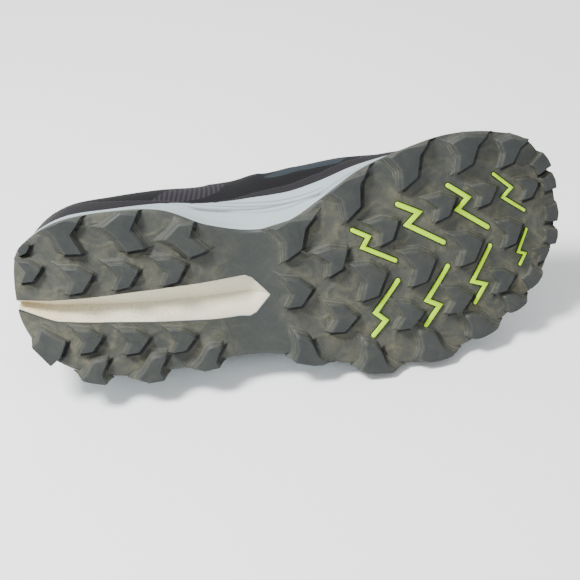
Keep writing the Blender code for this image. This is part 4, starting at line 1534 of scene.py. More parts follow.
@dataclass
class Insole:
    """The liner on the footbed, cupped round the heel and under the arch."""

    columns: int = 300
    shares: tuple = (0.0, 0.0, 0.012, 0.035, 0.07, 0.12, 0.18, 0.26, 0.36, 0.48, 0.62, 0.78, 0.90, 1.0)
    lifts: tuple = (-0.95, -0.35, -0.08) + (0.0,) * 11
    cup_rise: float = 0.8 * MM

    def build(self) -> None:
        """Make the insole's piece."""
        place = np.arange(self.columns) * TURN / self.columns
        edge = LINES.last(place) - LINES.outward(place) * (UPPER_WALL + GAP)
        middle = (edge + edge[-np.arange(self.columns) % self.columns]) / 2
        share = np.array(self.shares)[:, None, None]
        plan = mix(edge, middle, share)
        lift = np.array(self.lifts)[:, None] * INSOLE_THICKNESS
        heelward = smooth(1 - plan[..., 0] / (0.55 * SOLE_LENGTH))
        cup = self.cup_rise * (1 - smooth(share[..., 0] / 0.5)) * heelward
        z = bed_height(plan[..., 0]) + GAP + INSOLE_THICKNESS + lift + cup
        z[0] = bed_height(plan[0, :, 0]) + GAP
        points = np.concatenate([plan, z[..., None]], -1)
        run = np.concatenate([plan, plan[:, :1]], axis=1)
        mesh = capped("footbed_liner", Sheet(points, run, wraps=True))
        put(mesh, [SockLiner().material()], "insole", sharp=60)


@dataclass(frozen=True)
class UpperShell:
    """Outside of the upper: black engineered mesh under purple-grey welded films."""

    knit: tuple = ("#060608", "#0e0e12")
    hole: str = "#030304"
    dots: tuple = ("#0b0d10", "#43515a")
    ribs: tuple = ("#110f13", "#2e2931")
    streak: str = "#5a5860"
    film: tuple = ("#0c0a0e", "#1b181d")
    collar: str = "#141418"

    def material(self) -> Material:
        """Build its nodes, which read the masks film, lens, ribbed, streak and collar.

        Returns:
            The material.
        """
        look = Look("upper_shell", Sheen_Weight=0.05, Sheen_Roughness=0.5, Specular_IOR_Level=0.25)
        run = look.run()
        # Open mesh: holes 0.9 mm wide, 1.8 mm apart, in staggered rows
        turned = look.add("VectorRotate", {"rotation_type": "Z_AXIS"}, Vector=run, Angle=math.pi / 4)
        cell = look.add("VectorMath", {"operation": "SCALE"}, Vector=turned, Scale=560.0)
        holes = look.add("TexVoronoi", Vector=cell, Scale=1.0, Randomness=0.06)
        open_part = look.add("MapRange", EASED, Value=holes, **ranged(0.20, 0.38, 1.0, 0.0))
        thread = look.add("TexNoise", Vector=look.place, Scale=1800.0, Detail=2.0)
        knit = look.add("Mix", RGBA, Factor=thread, **tints(self.knit))
        knit = look.add("Mix", RGBA, Factor=open_part, A=knit, B=linear(self.hole))

        def inside(name: str, soft: float) -> Node:
            """Share of a mask's inside, with a soft edge in millimetres."""
            return look.add("MapRange", EASED, Value=look.mask(name), **ranged(-soft, soft, 0.0, 1.0))

        # A lens of finer blue-grey dots, 1.1 mm apart
        fine_cell = look.add("VectorMath", {"operation": "SCALE"}, Vector=turned, Scale=900.0)
        dots = look.add("TexVoronoi", Vector=fine_cell, Scale=1.0, Randomness=0.0)
        dot = look.add("MapRange", EASED, Value=dots, **ranged(0.22, 0.36, 1.0, 0.0))
        dotted = look.add("Mix", RGBA, Factor=dot, **tints(self.dots))
        colour = look.add("Mix", RGBA, Factor=inside("lens", 0.5), A=knit, B=dotted)
        # Ribbed patch: fine ribs 1.4 mm apart, which run up from the sole
        ribs = look.add("TexWave", {"wave_type": "BANDS", "bands_direction": "X"}, Vector=run, Scale=110.0,
                        Distortion=0.4)
        ribbed = look.add("Mix", RGBA, Factor=ribs, **tints(self.ribs))
        colour = look.add("Mix", RGBA, Factor=inside("ribbed", 0.6), A=colour, B=ribbed)
        streaks = look.add("Math", TIMES, Value=inside("streak", 0.25), Value_001=0.75)
        colour = look.add("Mix", RGBA, Factor=streaks, A=colour, B=linear(self.streak))
        grain = look.add("TexNoise", Vector=look.place, Scale=1400.0, Detail=3.0, Roughness=0.7)
        film = look.add("Mix", RGBA, Factor=grain, **tints(self.film))
        filmed = inside("film", 0.15)
        colour = look.add("Mix", RGBA, Factor=filmed, A=colour, B=film)
        collar = look.add("Math", {"operation": "MAXIMUM"}, Value=look.mask("collar"), Value_001=0.0)
        colour = look.add("Mix", RGBA, Factor=collar, A=colour, B=linear(self.collar))
        rough = look.add("MapRange", Value=filmed, **ranged(0.0, 1.0, 0.9, 0.62))
        pits = look.add("Math", TIMES, Value=open_part, Value_001=-1.0)
        height = look.add("Mix", {"data_type": "FLOAT"}, Factor=filmed, A=pits, B=grain)
        bump = look.add("Bump", Height=height, Strength=0.5, Distance=0.3 * MM)
        edge = look.add("Bump", Height=filmed, Strength=0.6, Distance=0.5 * MM, Normal=bump)
        return look.finish(Base_Color=colour, Roughness=rough, Normal=edge)


@dataclass(frozen=True)
class CollarLining:
    """Inside of the upper: soft brushed knit, near black, with ribs 1.2 mm apart."""

    nap: tuple = ("#2a2b30", "#0d0d10")

    def material(self) -> Material:
        """Build its nodes.

        Returns:
            The material.
        """
        look = Look("collar_lining", Roughness=0.95, Sheen_Weight=0.35, Sheen_Roughness=0.45)
        cell = look.add("VectorMath", TIMES, Vector=look.run(), Vector_001=(820, 820, 1))
        loop = look.add("TexVoronoi", Vector=cell, Scale=1.0, Randomness=0.2)
        fuzz = look.add("TexNoise", Vector=look.place, Scale=1200.0, Detail=2.0)
        shade = look.add("Math", TIMES, Value=loop, Value_001=fuzz)
        colour = look.add("Mix", RGBA, Factor=shade, **tints(self.nap))
        bump = look.add("Bump", {"invert": True}, Height=loop, Strength=0.5, Distance=0.35 * MM)
        return look.finish(Base_Color=colour, Normal=bump)


# Height of the welded film over the foam's rim, in millimetres, at each station
FILM_LATERAL = (34, 33, 30, 24, 17, 12, 9, 8, 8, 9, 10, 12, 15, 20, 27, 31)
FILM_MEDIAL = (34, 33, 28, 21, 13, 7, 5, 8, 10, 11, 13, 14, 17, 21, 27, 31)

# Patches of the medial side: station and height over the foam's rim in millimetres
PATCHES = {
    "lens": ((7.85, 22.5), (8.3, 27.5), (8.76, 31.5), (9.3, 31), (9.7, 27), (10.0, 19), (9.76, 14.5),
             (9.37, 18.5), (8.84, 22), (8.33, 22.3)),
    "ribbed": ((4.6, 4), (4.85, 12), (5.07, 20), (5.57, 30), (6.0, 30), (6.4, 26.5), (6.16, 16),
               (5.68, 9.5), (5.2, 5)),
    "streak": ((6.3, 32.6), (7.0, 31), (7.8, 29.6), (7.8, 30.4), (7.0, 31.9), (6.3, 33.6)),
}
PATCH_STATION = 20 * MM
EYESTAY_WIDTH = 13 * MM
EYESTAY_FROM_STATION = 6.0
COLLAR_BAND = 7 * MM


@dataclass
class Upper:
    """The upper: engineered mesh with films, an eyestay, a padded collar and its lining."""

    columns: int = 560
    outside_rows: int = 60
    edge_rows: int = 7
    inside_rows: int = 30
    counted_row: int = 15         # the row whose length counts round the shoe
    eyestay_starts: float = 5.2   # stations
    collar_ends: float = 6.4
    eyestay_slope: float = 11 * MM
    film_edge: float = 1.0 * MM

    def __post_init__(self) -> None:
        """Lay out the ribs."""
        self.place = np.arange(self.columns) * TURN / self.columns
        self.share = np.linspace(0, 1, self.outside_rows)[:, None]
        self.skin = LINES.rib(self.place, self.share)
        self.normal = LINES.rib_outward(*np.broadcast_arrays(self.place, self.share))
        self.height = run_length(self.skin)
        self.station = np.minimum(self.place % TURN, TURN - self.place % TURN)

    def film(self) -> Array:
        """Measure how far inside the edge of the welded films each point lies.

        Returns:
            The distances, in metres.
        """
        ring = Lines.around(FILM_LATERAL, FILM_MEDIAL) * MM
        rand = LINES.read(ring, self.place) - self.height
        below_top = self.height[-1] - self.height
        past = (self.station - EYESTAY_FROM_STATION) * self.eyestay_slope
        stay = EYESTAY_WIDTH * smooth((self.station - self.eyestay_starts) / 1.2) - below_top
        return np.maximum(rand, np.minimum(stay, past))

    def outside(self) -> tuple[Array, dict]:
        """Lay out the outside.

        Returns:
            Its points and its masks.
        """
        film = self.film()
        step = EYESTAY_STEP * smooth((film + self.film_edge / 2) / self.film_edge)
        points = self.skin + self.normal * step[..., None]
        below_top = self.height[-1] - self.height
        band = smooth((COLLAR_BAND - below_top) / self.film_edge)
        collar = smooth((self.collar_ends - self.station) / 0.8) * band
        masks = {"film": film * 1000, "collar": collar}
        medial = np.where(self.place > TOE, TURN - self.place, -FAR) * PATCH_STATION
        spot = np.stack(np.broadcast_arrays(medial, self.height), -1)
        for name, patch in PATCHES.items():
            outline = np.array(patch) * (PATCH_STATION, MM)
            masks[name] = -1000 * outline_distance(spot, outline)
        return points, masks

    def build(self) -> None:
        """Make the upper's piece: outside up, over the rounded edge, and the lining down."""
        points, masks = self.outside()
        top, normal = points[-1], self.normal[-1]
        depth = LINES.wall(self.place, np.ones_like(self.place))[:, None]
        inside_top = self.skin[-1] - normal * depth
        middle, half = (top + inside_top) / 2, (top - inside_top) / 2
        onward = unit(self.skin[-1] - self.skin[-3])
        angles = np.linspace(0, np.pi, self.edge_rows + 2)[1:-1, None, None]
        reach = np.linalg.norm(half, axis=-1, keepdims=True)
        edge = middle + half * np.cos(angles) + onward * reach * np.sin(angles)
        down = np.linspace(1, 0, self.inside_rows)[:, None]
        place = np.broadcast_to(self.place, (self.inside_rows, self.columns))
        share = np.broadcast_to(down, place.shape)
        lining_points = (LINES.rib(place, share)
                         - LINES.rib_outward(place, share) * LINES.wall(place, share)[..., None])
        foot = LINES.last(self.place) - LINES.outward(self.place) * UPPER_WALL
        low = (bed_height(LINES.last(self.place)[:, 0]) + GAP)[:, None]
        lining_points[-1] = np.concatenate([foot, (LINES.rim(self.place) + SEAT_RISE)[:, None]], -1)
        start = np.concatenate([LINES.last(self.place), low], -1)[None]
        outer = np.concatenate([start, points])
        inner = np.concatenate([points[-1:], edge, lining_points, np.concatenate([foot, low], -1)[None]])
        masks = {name: np.concatenate([mask[:1], mask]) for name, mask in masks.items()}
        blank = {name: np.full(inner.shape[:2], -FAR) for name in masks}
        counted = self.skin[self.counted_row]
        meshes = [Sheet(grid, ring_run(counted, grid), wraps=True, flipped=True, masks=names).to_mesh(side)
                  for side, grid, names in (("outside", outer, masks), ("inside", inner, blank))]
        mesh = joined("upper_shell", meshes, weld=0.001 * MM)
        put(mesh, [UpperShell().material(), CollarLining().material()], "upper")


TONGUE_WINGS = (0.88, 0.94, 1.0)
TONGUE_MIDDLE = (0.25, 0.5, 0.75)
TONGUE_TAB_ROWS = ((1.0, 0.72), (0.6, 0.76), (0.22, 0.80))
TONGUE_TAB_LEAN = np.array((-0.58, 0.0, 0.81))
TONGUE_FROM = 7.0
TONGUE_TO = 13.5


@dataclass(frozen=True)
class TongueCloth:
    """Tongue: padded black air mesh with holes 2 mm apart and a soft nap."""

    mesh: tuple = ("#232329", "#08080a")

    def material(self) -> Material:
        """Build its nodes.

        Returns:
            The material.
        """
        look = Look("tongue_cloth", Roughness=0.9, Sheen_Weight=0.3, Sheen_Roughness=0.5)
        cell = look.add("VectorMath", {"operation": "SCALE"}, Vector=look.run(), Scale=520.0)
        holes = look.add("TexVoronoi", Vector=cell, Scale=1.0, Randomness=0.0)
        gap = look.add("MapRange", EASED, Value=holes, **ranged(0.15, 0.34, 1.0, 0.0))
        colour = look.add("Mix", RGBA, Factor=gap, **tints(self.mesh))
        bump = look.add("Bump", {"invert": True}, Height=gap, Strength=0.6, Distance=0.4 * MM)
        return look.finish(Base_Color=colour, Normal=bump)


@dataclass
class Tongue:
    """The padded tongue under the eyestay, with the tab over the top eyelets."""

    rows: int = 70
    columns: int = 41
    section_count: int = 14
    crown: float = 0.9 * MM
    quilting: float = 0.7 * MM    # depth of the two channels along it

    @staticmethod
    def under(place: float) -> Array:
        """Points under the eyestay's wall, one for each share of the wings.

        Args:
            place: Place round the shoe.

        Returns:
            The points, in metres.
        """
        share = np.array(TONGUE_WINGS)
        places = np.full(share.shape, place)
        depth = LINES.wall(places, share) + TONGUE_CLEARANCE
        return LINES.rib(places, share) - LINES.rib_outward(places, share) * depth[:, None]

    @classmethod
    def section(cls, station: float) -> Array:
        """Lay out a line across the tongue's top.

        Args:
            station: Where it lies.

        Returns:
            Its points, from the lateral to the medial wing.
        """
        lateral, medial = cls.under(station), cls.under(TURN - station)
        arch = np.array([(0, 0, TONGUE_RISE * math.sin(math.pi * s)) for s in TONGUE_MIDDLE])
        middle = mix(lateral[-1], medial[-1], np.array(TONGUE_MIDDLE)[:, None]) + arch
        return np.concatenate([lateral, middle, medial[::-1]])

    def build(self) -> None:
        """Make the tongue's piece."""
        stations = np.linspace(TONGUE_FROM, TONGUE_TO, self.section_count)
        sections = [self.section(station) for station in stations]
        tabs = [sections[0] * (1, width, 1) + TONGUE_TAB_LEAN * TONGUE_TAB * reach
                for reach, width in TONGUE_TAB_ROWS]
        grid = resampled(np.array(tabs + sections), self.rows)
        grid = np.swapaxes(resampled(np.swapaxes(grid, 0, 1), self.columns), 0, 1)
        across = np.linspace(-1, 1, self.columns)[None, :]
        along = np.linspace(0, 1, self.rows)[:, None]
        onward, sideways = np.gradient(grid, axis=0), np.gradient(grid, axis=1)
        inward = unit(np.cross(onward, sideways))
        rim = np.minimum(1 - np.abs(across), np.minimum(along, 1 - along) * 3)
        crown = self.crown * smooth(rim / 0.25)
        quilt = self.quilting * ridge(np.abs(across) - 0.42, 0.06) * smooth(along / 0.1)
        top = grid - inward * (crown * 0.4 - quilt * 0.8)[..., None]
        thick = TONGUE_THICKNESS * (0.35 + 0.65 * smooth(rim / 0.2))
        under = grid + inward * thick[..., None]
        run = np.stack([run_length(np.swapaxes(grid, 0, 1)).T, run_length(grid)], -1)
        mesh = slab("tongue_pad", Sheet(top, run), under)
        put(mesh, [TongueCloth().material()], "tongue")


EYELETS = (6.6, 7.7, 8.8, 9.9, 11.0, 12.0)
EYELET_ROW = 0.90
LACE_START = ((0.0, 0.0), (0.6, 0.06), (1.0, 0.12))
LACE_MIDDLE = (0.2, 0.4, 0.5, 0.6, 0.8)


@dataclass(frozen=True)
class LaceWeave:
    """Flat woven lace: charcoal with a lighter herringbone, each pick 0.9 mm long."""

    picks: tuple = ("#141418", "#3d3d44")

    def material(self) -> Material:
        """Build its nodes.

        Returns:
            The material.
        """
        look = Look("lace_weave", Roughness=0.85, Sheen_Weight=0.25, Sheen_Roughness=0.4)
        parts = look.add("SeparateXYZ", Vector=look.run())
        folded = look.add("Math", {"operation": "PINGPONG"}, Value=parts.outputs["Y"], Value_001=1.5 * MM)
        slope = look.add("Math", {"operation": "ADD"}, Value=parts.outputs["X"], Value_001=folded)
        vector = look.add("CombineXYZ", X=slope, Y=0.0, Z=0.0)
        pick = look.add("TexWave", {"wave_type": "BANDS", "bands_direction": "X", "wave_profile": "SIN"},
                        Vector=vector, Scale=175.0)
        colour = look.add("Mix", RGBA, Factor=pick, **tints(self.picks))
        bump = look.add("Bump", Height=pick, Strength=0.7, Distance=0.3 * MM)
        return look.finish(Base_Color=colour, Normal=bump)


def strap(line: Array, outward: Array, width: Array, thickness: float, around: int = 14) -> Sheet:
    """Make a flat woven tube along a line.

    Args:
        line: The tube's middle line.
        outward: The way that its flat side faces, at each point.
        width: Its width at each point, or one width.
        thickness: Its thickness.
        around: How many points its section has.

    Returns:
        The tube, open at its ends.
    """
    forward = unit(np.gradient(line, axis=0))
    sideways = unit(np.cross(forward, outward))
    upward = np.cross(sideways, forward)
    angle = np.arange(around) * 2 * np.pi / around
    flat = np.sign(np.cos(angle)) * np.abs(np.cos(angle)) ** 0.55
    thick = np.sign(np.sin(angle)) * np.abs(np.sin(angle)) ** 0.75
    half = np.broadcast_to(np.asarray(width) / 2, (len(line),))[:, None, None]
    points = (line[:, None] + sideways[:, None] * flat[None, :, None] * half
              + upward[:, None] * (thick * thickness / 2)[None, :, None])
    girth = np.arange(around + 1) / around * (2 * np.max(half) * 2)
    run = np.stack(np.broadcast_arrays(run_length(line)[:, None], girth[None, :]), -1)
    return Sheet(points, run, wraps=True)


@dataclass
class Laces:
    """The lace's crossings over the tongue, one over and one under, and the bar at the toe."""

    steps: int = 60
    hole_dip: float = 1.2 * MM    # how far a lace's end goes into its hole

    def __post_init__(self) -> None:
        """Count the steps along a crossing."""
        self.step = np.arange(self.steps)

    @staticmethod
    def eyelet(place: float, row: float) -> tuple[Array, Array]:
        """Find where a lace lies on the eyestay.

        Args:
            place: Place round the shoe.
            row: Share of the rib's height.

        Returns:
            The lace's middle, and the way out of the surface.
        """
        where, share = np.array([place]), np.array([row])
        outward = LINES.rib_outward(where, share)[0]
        lift = EYESTAY_STEP + LACE_CLEARANCE + LACE_THICKNESS / 2
        return LINES.rib(where, share)[0] + outward * lift, outward

    def route(self, lateral: float, medial: float, over: float) -> tuple[Array, Array]:
        """Route of a crossing.

        Args:
            lateral: Station of its eyelet on the lateral side.
            medial: Station of its eyelet on the medial side.
            over: How far it lies over or under its neighbour in the middle, in metres.

        Returns:
            The lace's middle line and the way out of the shoe along it.
        """
        near, far = [], []
        for way, lean in LACE_START:
            row = mix(EYELET_ROW, 1.0, way)
            near.append(self.eyelet(mix(lateral, medial, lean), row))
            far.append(self.eyelet(TURN - mix(medial, lateral, lean), row))
        line = []
        for share in LACE_MIDDLE:
            hump = math.sin(math.pi * share)
            arch = np.array((0, 0, LACE_ARCH * hump + over * hump ** 3))
            line.append((mix(near[-1][0], far[-1][0], share) + arch, mix(near[-1][1], far[-1][1], share)))
        knots = near + line + far[::-1]
        dip = LACE_CLEARANCE + LACE_THICKNESS + self.hole_dip
        first, last = knots[0], knots[-1]
        knots = [(first[0] - first[1] * dip, first[1]), *knots, (last[0] - last[1] * dip, last[1])]
        return (resampled(np.array([point for point, _ in knots]), self.steps),
                unit(resampled(np.array([way for _, way in knots]), self.steps)))

    def strip(self, lateral: float, medial: float, over: float) -> Sheet:
        """Make the tube of one crossing, narrower at its ends."""
        width = LACE_WIDTH * mix(0.55, 1.0, smooth(np.minimum(self.step, self.step[::-1]) / 5))
        return strap(*self.route(lateral, medial, over), width, LACE_THICKNESS)

    def build(self) -> None:
        """Make the laces' piece."""
        last = EYELETS[-1]
        meshes = [self.strip(last, last, 0.0).to_mesh("bar")]
        for number, (lower, upper) in enumerate(zip(EYELETS[1:], EYELETS)):
            over = LACE_THICKNESS * (0.55 if number % 2 else -0.55)
            meshes.append(self.strip(lower, upper, over).to_mesh("cross"))
            meshes.append(self.strip(upper, lower, -over).to_mesh("cross"))
        mesh = joined("lace_crossings", meshes)
        for face in mesh.polygons:
            face.material_index = 0
        put(mesh, [LaceWeave().material()], "laces")


def on_upper(place: Array, below: float, lift: float) -> tuple[Array, Array]:
    """Find a line on the outside of the upper.

    Args:
        place: Places round the shoe.
        below: How far under the top edge it runs, in metres.
        lift: How far over the skin, in metres.

    Returns:
        The line's points, and the ways out of the surface.
    """
    steps = np.linspace(0, 1, 80)[:, None]
    length = run_length(LINES.rib(place, steps))
    share = np.array([np.interp(up[-1] - below, up, steps[:, 0]) for up in length.T])
    outward = LINES.rib_outward(place, share)
    return LINES.rib(place, share) + outward * lift, outward


class Parts:
    """Small parts that repeat along lines or at points, laid out by geometry nodes."""

    def __init__(self, name: str, material: Material, inputs: Sequence[str]) -> None:
        """Start the node group.

        Args:
            name: Its name.
            material: Finish of the parts.
            inputs: Names of its sizes.
        """
        self.tree = bpy.data.node_groups.new(name, "GeometryNodeTree")
        self.material = material
        interface = self.tree.interface
        interface.new_socket("Carrier", in_out="INPUT", socket_type="NodeSocketGeometry")
        kind = "NodeSocketFloat"
        sizes = [interface.new_socket(each, in_out="INPUT", socket_type=kind) for each in inputs]
        self.keys = {socket.name: socket.identifier for socket in sizes}
        interface.new_socket("Parts", in_out="OUTPUT", socket_type="NodeSocketGeometry")
        self.given = self.tree.nodes.new("NodeGroupInput").outputs

    def add(self, kind: str, settings: dict | None = None, **inputs: object) -> Node:
        """Add a geometry node."""
        return add_node(self.tree, kind, settings, inputs)

    def finish(self, points: object, part: object, turn: object) -> None:
        """Put the part on the points, each 6% larger or smaller at most, and close the group.

        Args:
            points: Node or socket with the points.
            part: The part's node.
            turn: Its turn at each point.
        """
        uneven = self.add("FunctionNodeRandomValue", {"data_type": "FLOAT"}, Min=0.94, Max=1.06, Seed=SEED)
        laid = self.add("GeometryNodeInstanceOnPoints", Points=points, Instance=part, Rotation=turn,
                        Scale=uneven)
        real = self.add("GeometryNodeRealizeInstances", Geometry=laid)
        dressed = self.add("GeometryNodeSetMaterial", Geometry=real, Material=self.material)
        smoothed = self.add("GeometryNodeSetShadeSmooth", Geometry=dressed, Shade_Smooth=True)
        self.add("NodeGroupOutput", Parts=smoothed)

    def lay(self, name: str, lines: Sequence[tuple[Array, Array]], joined_up: bool,
            **values: float) -> Mesh:
        """Lay the parts out and give their plain mesh.

        Args:
            name: Name of the mesh.
            lines: Lines of points, each with the ways out of the surface.
            joined_up: Whether the parts run along the lines, or sit only at their points.
            values: The group's inputs by name, in metres.

        Returns:
            The mesh, with its material.
        """
        points = np.concatenate([line for line, _ in lines])
        outward = np.concatenate([way for _, way in lines]).astype(np.float32)
        starts = np.cumsum([0] + [len(line) for line, _ in lines])
        edges = []
        if joined_up:
            edges = [(k, k + 1) for a, b in zip(starts, starts[1:]) for k in range(a, b - 1)]
        carrier = bpy.data.meshes.new(name + "_carrier")
        carrier.from_pydata(points.tolist(), edges, [])
        carrier.attributes.new("out", "FLOAT_VECTOR", "POINT").data.foreach_set("vector", outward.ravel())
        body = linked(name + "_carrier", carrier)
        modifier = body.modifiers.new("parts", "NODES")
        modifier.node_group = self.tree
        for key, value in values.items():
            modifier[self.keys[key]] = value
        return baked(body, name)


@dataclass(frozen=True)
class PolyesterThread:
    """Bonded polyester thread: charcoal, slightly shiny, twisted at 0.5 mm."""

    twist: tuple = ("#26262b", "#4a4a51")

    def material(self) -> Material:
        """Build its nodes.

        Returns:
            The material.
        """
        look = Look("polyester_thread", Roughness=0.55, Sheen_Weight=0.2, Sheen_Roughness=0.4)
        twist = look.add("TexWave", {"wave_type": "BANDS", "bands_direction": "DIAGONAL"}, Vector=look.place,
                         Scale=620.0)
        colour = look.add("Mix", RGBA, Factor=twist, **tints(self.twist))
        bump = look.add("Bump", Height=twist, Strength=0.5, Distance=0.15 * MM)
        return look.finish(Base_Color=colour, Normal=bump)


@dataclass(frozen=True)
class MouldedUrethane:
    """Moulded urethane round the lace holes: black, satin."""

    black: tuple = ("#141417", "#222227")

    def material(self) -> Material:
        """Build its nodes.

        Returns:
            The material.
        """
        look = Look("moulded_urethane", Specular_IOR_Level=0.5)
        fine = look.add("TexNoise", Vector=look.place, Scale=1600.0, Detail=2.0)
        colour = look.add("Mix", RGBA, Factor=fine, **tints(self.black))
        rough = look.add("MapRange", Value=fine, **ranged(0.3, 0.7, 0.32, 0.48))
        return look.finish(Base_Color=colour, Roughness=rough)


@dataclass(frozen=True)
class GrosgrainWebbing:
    """Grosgrain webbing of the pull tab: ribs 0.9 mm apart across the tape."""

    tape: tuple = ("#131316", "#1e1e23")
    rib: str = "#3a3a41"

    def material(self) -> Material:
        """Build its nodes.

        Returns:
            The material.
        """
        look = Look("grosgrain_webbing", Roughness=0.8, Sheen_Weight=0.2, Sheen_Roughness=0.4)
        ribs = look.add("TexWave", {"wave_type": "BANDS", "bands_direction": "X"}, Vector=look.run(),
                        Scale=175.0)
        worn = look.add("TexNoise", Vector=look.place, Scale=90.0, Detail=3.0)
        dark = look.add("Mix", RGBA, Factor=worn, **tints(self.tape))
        colour = look.add("Mix", RGBA, Factor=ribs, A=dark, B=linear(self.rib))
        bump = look.add("Bump", Height=ribs, Strength=0.7, Distance=0.3 * MM)
        return look.finish(Base_Color=colour, Normal=bump)


@dataclass
class Trim:
    """Stitching, eyelets and the heel's pull tab."""

    collar_seam: float = 8.2 * MM                      # under the top edge
    eyestay_seams: tuple = (2.2 * MM, 11.4 * MM)
    seam_lift: float = 0.12 * MM
    collar_seam_to: float = 6.2                        # stations
    eyestay_seam_from: float = 6.9
    eyestay_seam_to: float = 12.9
    stitch_pitch: float = 2.9 * MM
    stitch_length: float = 2.2 * MM
    stitch_thickness: float = 0.55 * MM
    eyelet_radius: float = 3.1 * MM
    eyelet_wire: float = 0.6 * MM
    tab_width: float = 13 * MM
    tab_thickness: float = 1.1 * MM
    # The tab outside: how far under the top edge and off the skin, in millimetres
    tab_outside: tuple = ((30, 0.5), (27, 0.7), (20, 2.2), (12, 3.2), (4, 3.0))
    # The tab over the collar: in shares of the collar's thickness, and millimetres up
    tab_over: tuple = ((0.0, 2.0), (-0.5, 4.2), (-1.05, 2.0), (-1.10, -4.0), (-1.08, -9.0))

    def stitches(self) -> None:
        """Sew the collar's band and the eyestay's two rows."""
        parts = Parts("stitch_run", PolyesterThread().material(), ("Pitch", "Length", "Thickness"))
        curve = parts.add("GeometryNodeMeshToCurve", Mesh=parts.given["Carrier"])
        spots = parts.add("GeometryNodeCurveToPoints", {"mode": "LENGTH"}, Curve=curve,
                          Length=parts.given["Pitch"])
        ball = parts.add("GeometryNodeMeshUVSphere", Segments=8, Rings=6, Radius=0.5)
        size = parts.add("ShaderNodeCombineXYZ", X=parts.given["Length"], Y=parts.given["Thickness"],
                         Z=parts.given["Thickness"])
        bead = parts.add("GeometryNodeTransform", Geometry=ball, Scale=size)
        outward = parts.add("GeometryNodeInputNamedAttribute", {"data_type": "FLOAT_VECTOR"}, Name="out")
        along = parts.add("FunctionNodeAlignRotationToVector", {"axis": "X"},
                          Vector=spots.outputs["Tangent"])
        turn = parts.add("FunctionNodeAlignRotationToVector", {"axis": "Z", "pivot_axis": "X"},
                         Rotation=along,
                         Vector=outward)
        parts.finish(spots, bead, turn)
        heel = np.linspace(-self.collar_seam_to, self.collar_seam_to, 180) % TURN
        lines = [on_upper(heel, self.collar_seam, self.seam_lift)]
        for below in self.eyestay_seams:
            for way in (1, -1):
                place = np.linspace(self.eyestay_seam_from, self.eyestay_seam_to, 90) * way % TURN
                lines.append(on_upper(place, below, EYESTAY_STEP + self.seam_lift))
        mesh = parts.lay("upper_stitches", lines, True, Pitch=self.stitch_pitch,
                         Length=self.stitch_length, Thickness=self.stitch_thickness)
        put(mesh, [])

    def eyelets(self) -> None:
        """Set a ring round each lace hole."""
        parts = Parts("eyelet_rings", MouldedUrethane().material(), ("Radius", "Wire"))
        ring = parts.add("GeometryNodeCurvePrimitiveCircle", Resolution=28, Radius=parts.given["Radius"])
        wire = parts.add("GeometryNodeCurvePrimitiveCircle", Resolution=10, Radius=parts.given["Wire"])
        hoop = parts.add("GeometryNodeCurveToMesh", Curve=ring, Profile_Curve=wire)
        outward = parts.add("GeometryNodeInputNamedAttribute", {"data_type": "FLOAT_VECTOR"}, Name="out")
        turn = parts.add("FunctionNodeAlignRotationToVector", {"axis": "Z"}, Vector=outward)
        parts.finish(parts.given["Carrier"], hoop, turn)
        points, ways = [], []
        for station in EYELETS:
            for place in (station, TURN - station):
                middle, outward = Laces.eyelet(place, EYELET_ROW)
                points.append(middle - outward * (LACE_CLEARANCE + LACE_THICKNESS / 2))
                ways.append(outward)
        mesh = parts.lay("lace_eyelets", [(np.array(points), np.array(ways))], False,
                         Radius=self.eyelet_radius, Wire=self.eyelet_wire)
        put(mesh, [])

    def pull_tab(self) -> None:
        """Loop the heel's webbing from the heel counter over the collar to its lining."""
        place = np.array([0.0])
        line, ways = [], []
        for below, lift in self.tab_outside:
            point, outward = on_upper(place, below * MM, lift * MM)
            line.append(point[0])
            ways.append(outward[0])
        depth = float(LINES.wall(place, np.ones(1))[0])
        skin, outward = on_upper(place, 0.0, 0.0)
        up = unit(skin[0] - on_upper(place, 4 * MM, 0.0)[0][0])
        for across, over in self.tab_over:
            line.append(skin[0] + outward[0] * depth * across + up * over * MM)
            ways.append(unit(outward[0] * (1 + 2 * across) + up * (1 if over > 0 else 0)))
        line, ways = resampled(np.array(line), 60), unit(resampled(np.array(ways), 60))
        mesh = strap(line, ways, self.tab_width, self.tab_thickness, 18).to_mesh("heel_pull_tab")
        put(mesh, [GrosgrainWebbing().material()])

    def build(self) -> None:
        """Make the trim's pieces."""
        self.stitches()
        self.eyelets()
        self.pull_tab()


class Lamp(NamedTuple):
    """A soft square light."""

    name: str
    way: tuple          # where it hangs, seen from the shoe, in the camera's axes
    distance: float     # metres
    size: float         # metres
    power: float        # watts


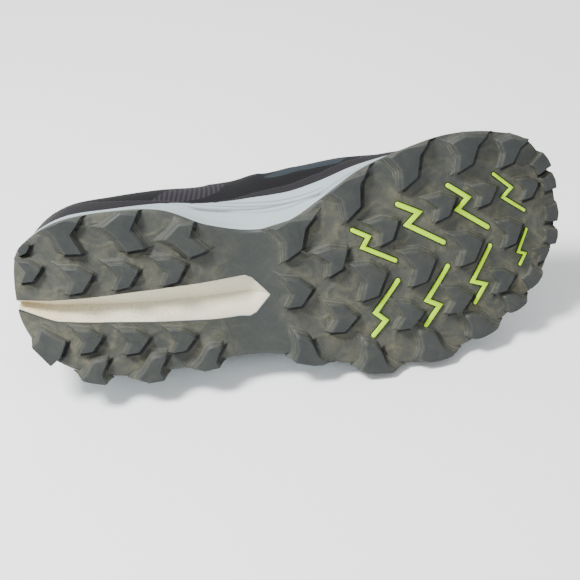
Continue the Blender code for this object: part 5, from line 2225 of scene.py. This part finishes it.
@dataclass
class Studio:
    """Pale floor, soft light, and the camera where the photograph was taken from."""

    lean: float = math.radians(14)
    roll: float = math.radians(7.3)
    middle: tuple = (152 * MM, 9.4 * MM, 8 * MM)
    distance: float = 0.9
    lens: float = 101.0
    lamps: tuple = (
        Lamp("key", (-0.70, 0.72, 0.80), 1.2, 0.35, 31),
        Lamp("fill", (0.6, -0.1, 0.9), 1.3, 1.1, 3),
        Lamp("rim", (-0.1, 0.9, -0.3), 1.2, 0.7, 2),
    )
    sky: str = "#f7f9fb"
    sky_strength: float = 0.86
    floor_half: float = 4.0

    def axes(self) -> Matrix:
        """Work out how the camera is turned.

        Returns:
            Its right, up and back, in the row frame, as columns.
        """
        back = Vector((0, -math.sin(self.lean), -math.cos(self.lean)))
        level = Vector((0, -math.cos(self.lean), math.sin(self.lean)))
        right = (-back).cross(level)
        turned = right * math.cos(self.roll) - level * math.sin(self.roll)
        upward = right * math.sin(self.roll) + level * math.cos(self.roll)
        return POSE.to_3x3() @ Matrix((turned, upward, back)).transposed()

    def camera(self) -> None:
        """Put the camera at the photograph's angle."""
        data = bpy.data.cameras.new("camera")
        data.lens = self.lens
        camera = linked("camera", data)
        axes = self.axes()
        place = POSE @ Vector(self.middle) + axes.col[2] * self.distance
        camera.matrix_world = Matrix.Translation(place) @ axes.to_4x4()
        bpy.context.scene.camera = camera

    def light(self, lamp: Lamp) -> None:
        """Hang a light over the shoe.

        Args:
            lamp: Its row of the table.
        """
        data = bpy.data.lights.new(lamp.name, "AREA")
        data.size, data.energy = lamp.size, lamp.power
        body = linked(lamp.name, data)
        toward = (self.axes() @ Vector(lamp.way)).normalized()
        centre = POSE @ Vector(self.middle)
        body.matrix_world = (Matrix.Translation(centre + toward * lamp.distance)
                             @ toward.to_track_quat("Z", "Y").to_matrix().to_4x4())

    def floor(self) -> None:
        """Lay a pale floor."""
        bm = bmesh.new()
        bmesh.ops.create_grid(bm, x_segments=2, y_segments=2, size=self.floor_half)
        mesh = bpy.data.meshes.new("floor")
        bm.to_mesh(mesh)
        bm.free()
        look = Look("pale_floor", Roughness=0.95, Specular_IOR_Level=0.1)
        shade = look.add("TexNoise", Vector=look.place, Scale=3.0)
        colour = look.add("Mix", RGBA, Factor=shade, A=linear("#fafafa"), B=linear("#fdfdfd"))
        mesh.materials.append(look.finish(Base_Color=colour))
        linked("floor", mesh)

    def build(self) -> None:
        """Make the camera, the lights, the floor and the sky."""
        self.camera()
        self.floor()
        for lamp in self.lamps:
            self.light(lamp)
        world = bpy.data.worlds.new("sky")
        world.use_nodes = True
        background = world.node_tree.nodes["Background"]
        background.inputs["Color"].default_value = linear(self.sky)
        background.inputs["Strength"].default_value = self.sky_strength
        bpy.context.scene.world = world


def main() -> None:
    """Dress the shoe and write how large it comes out."""
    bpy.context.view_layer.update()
    Studio().build()
    cutter = channel_cutter()
    Outsole().build(cutter)
    Midsole().build(cutter)
    bpy.data.objects.remove(cutter)
    Insole().build()
    Upper().build()
    Tongue().build()
    Laces().build()
    Trim().build()


if __name__ == "__main__":
    main()
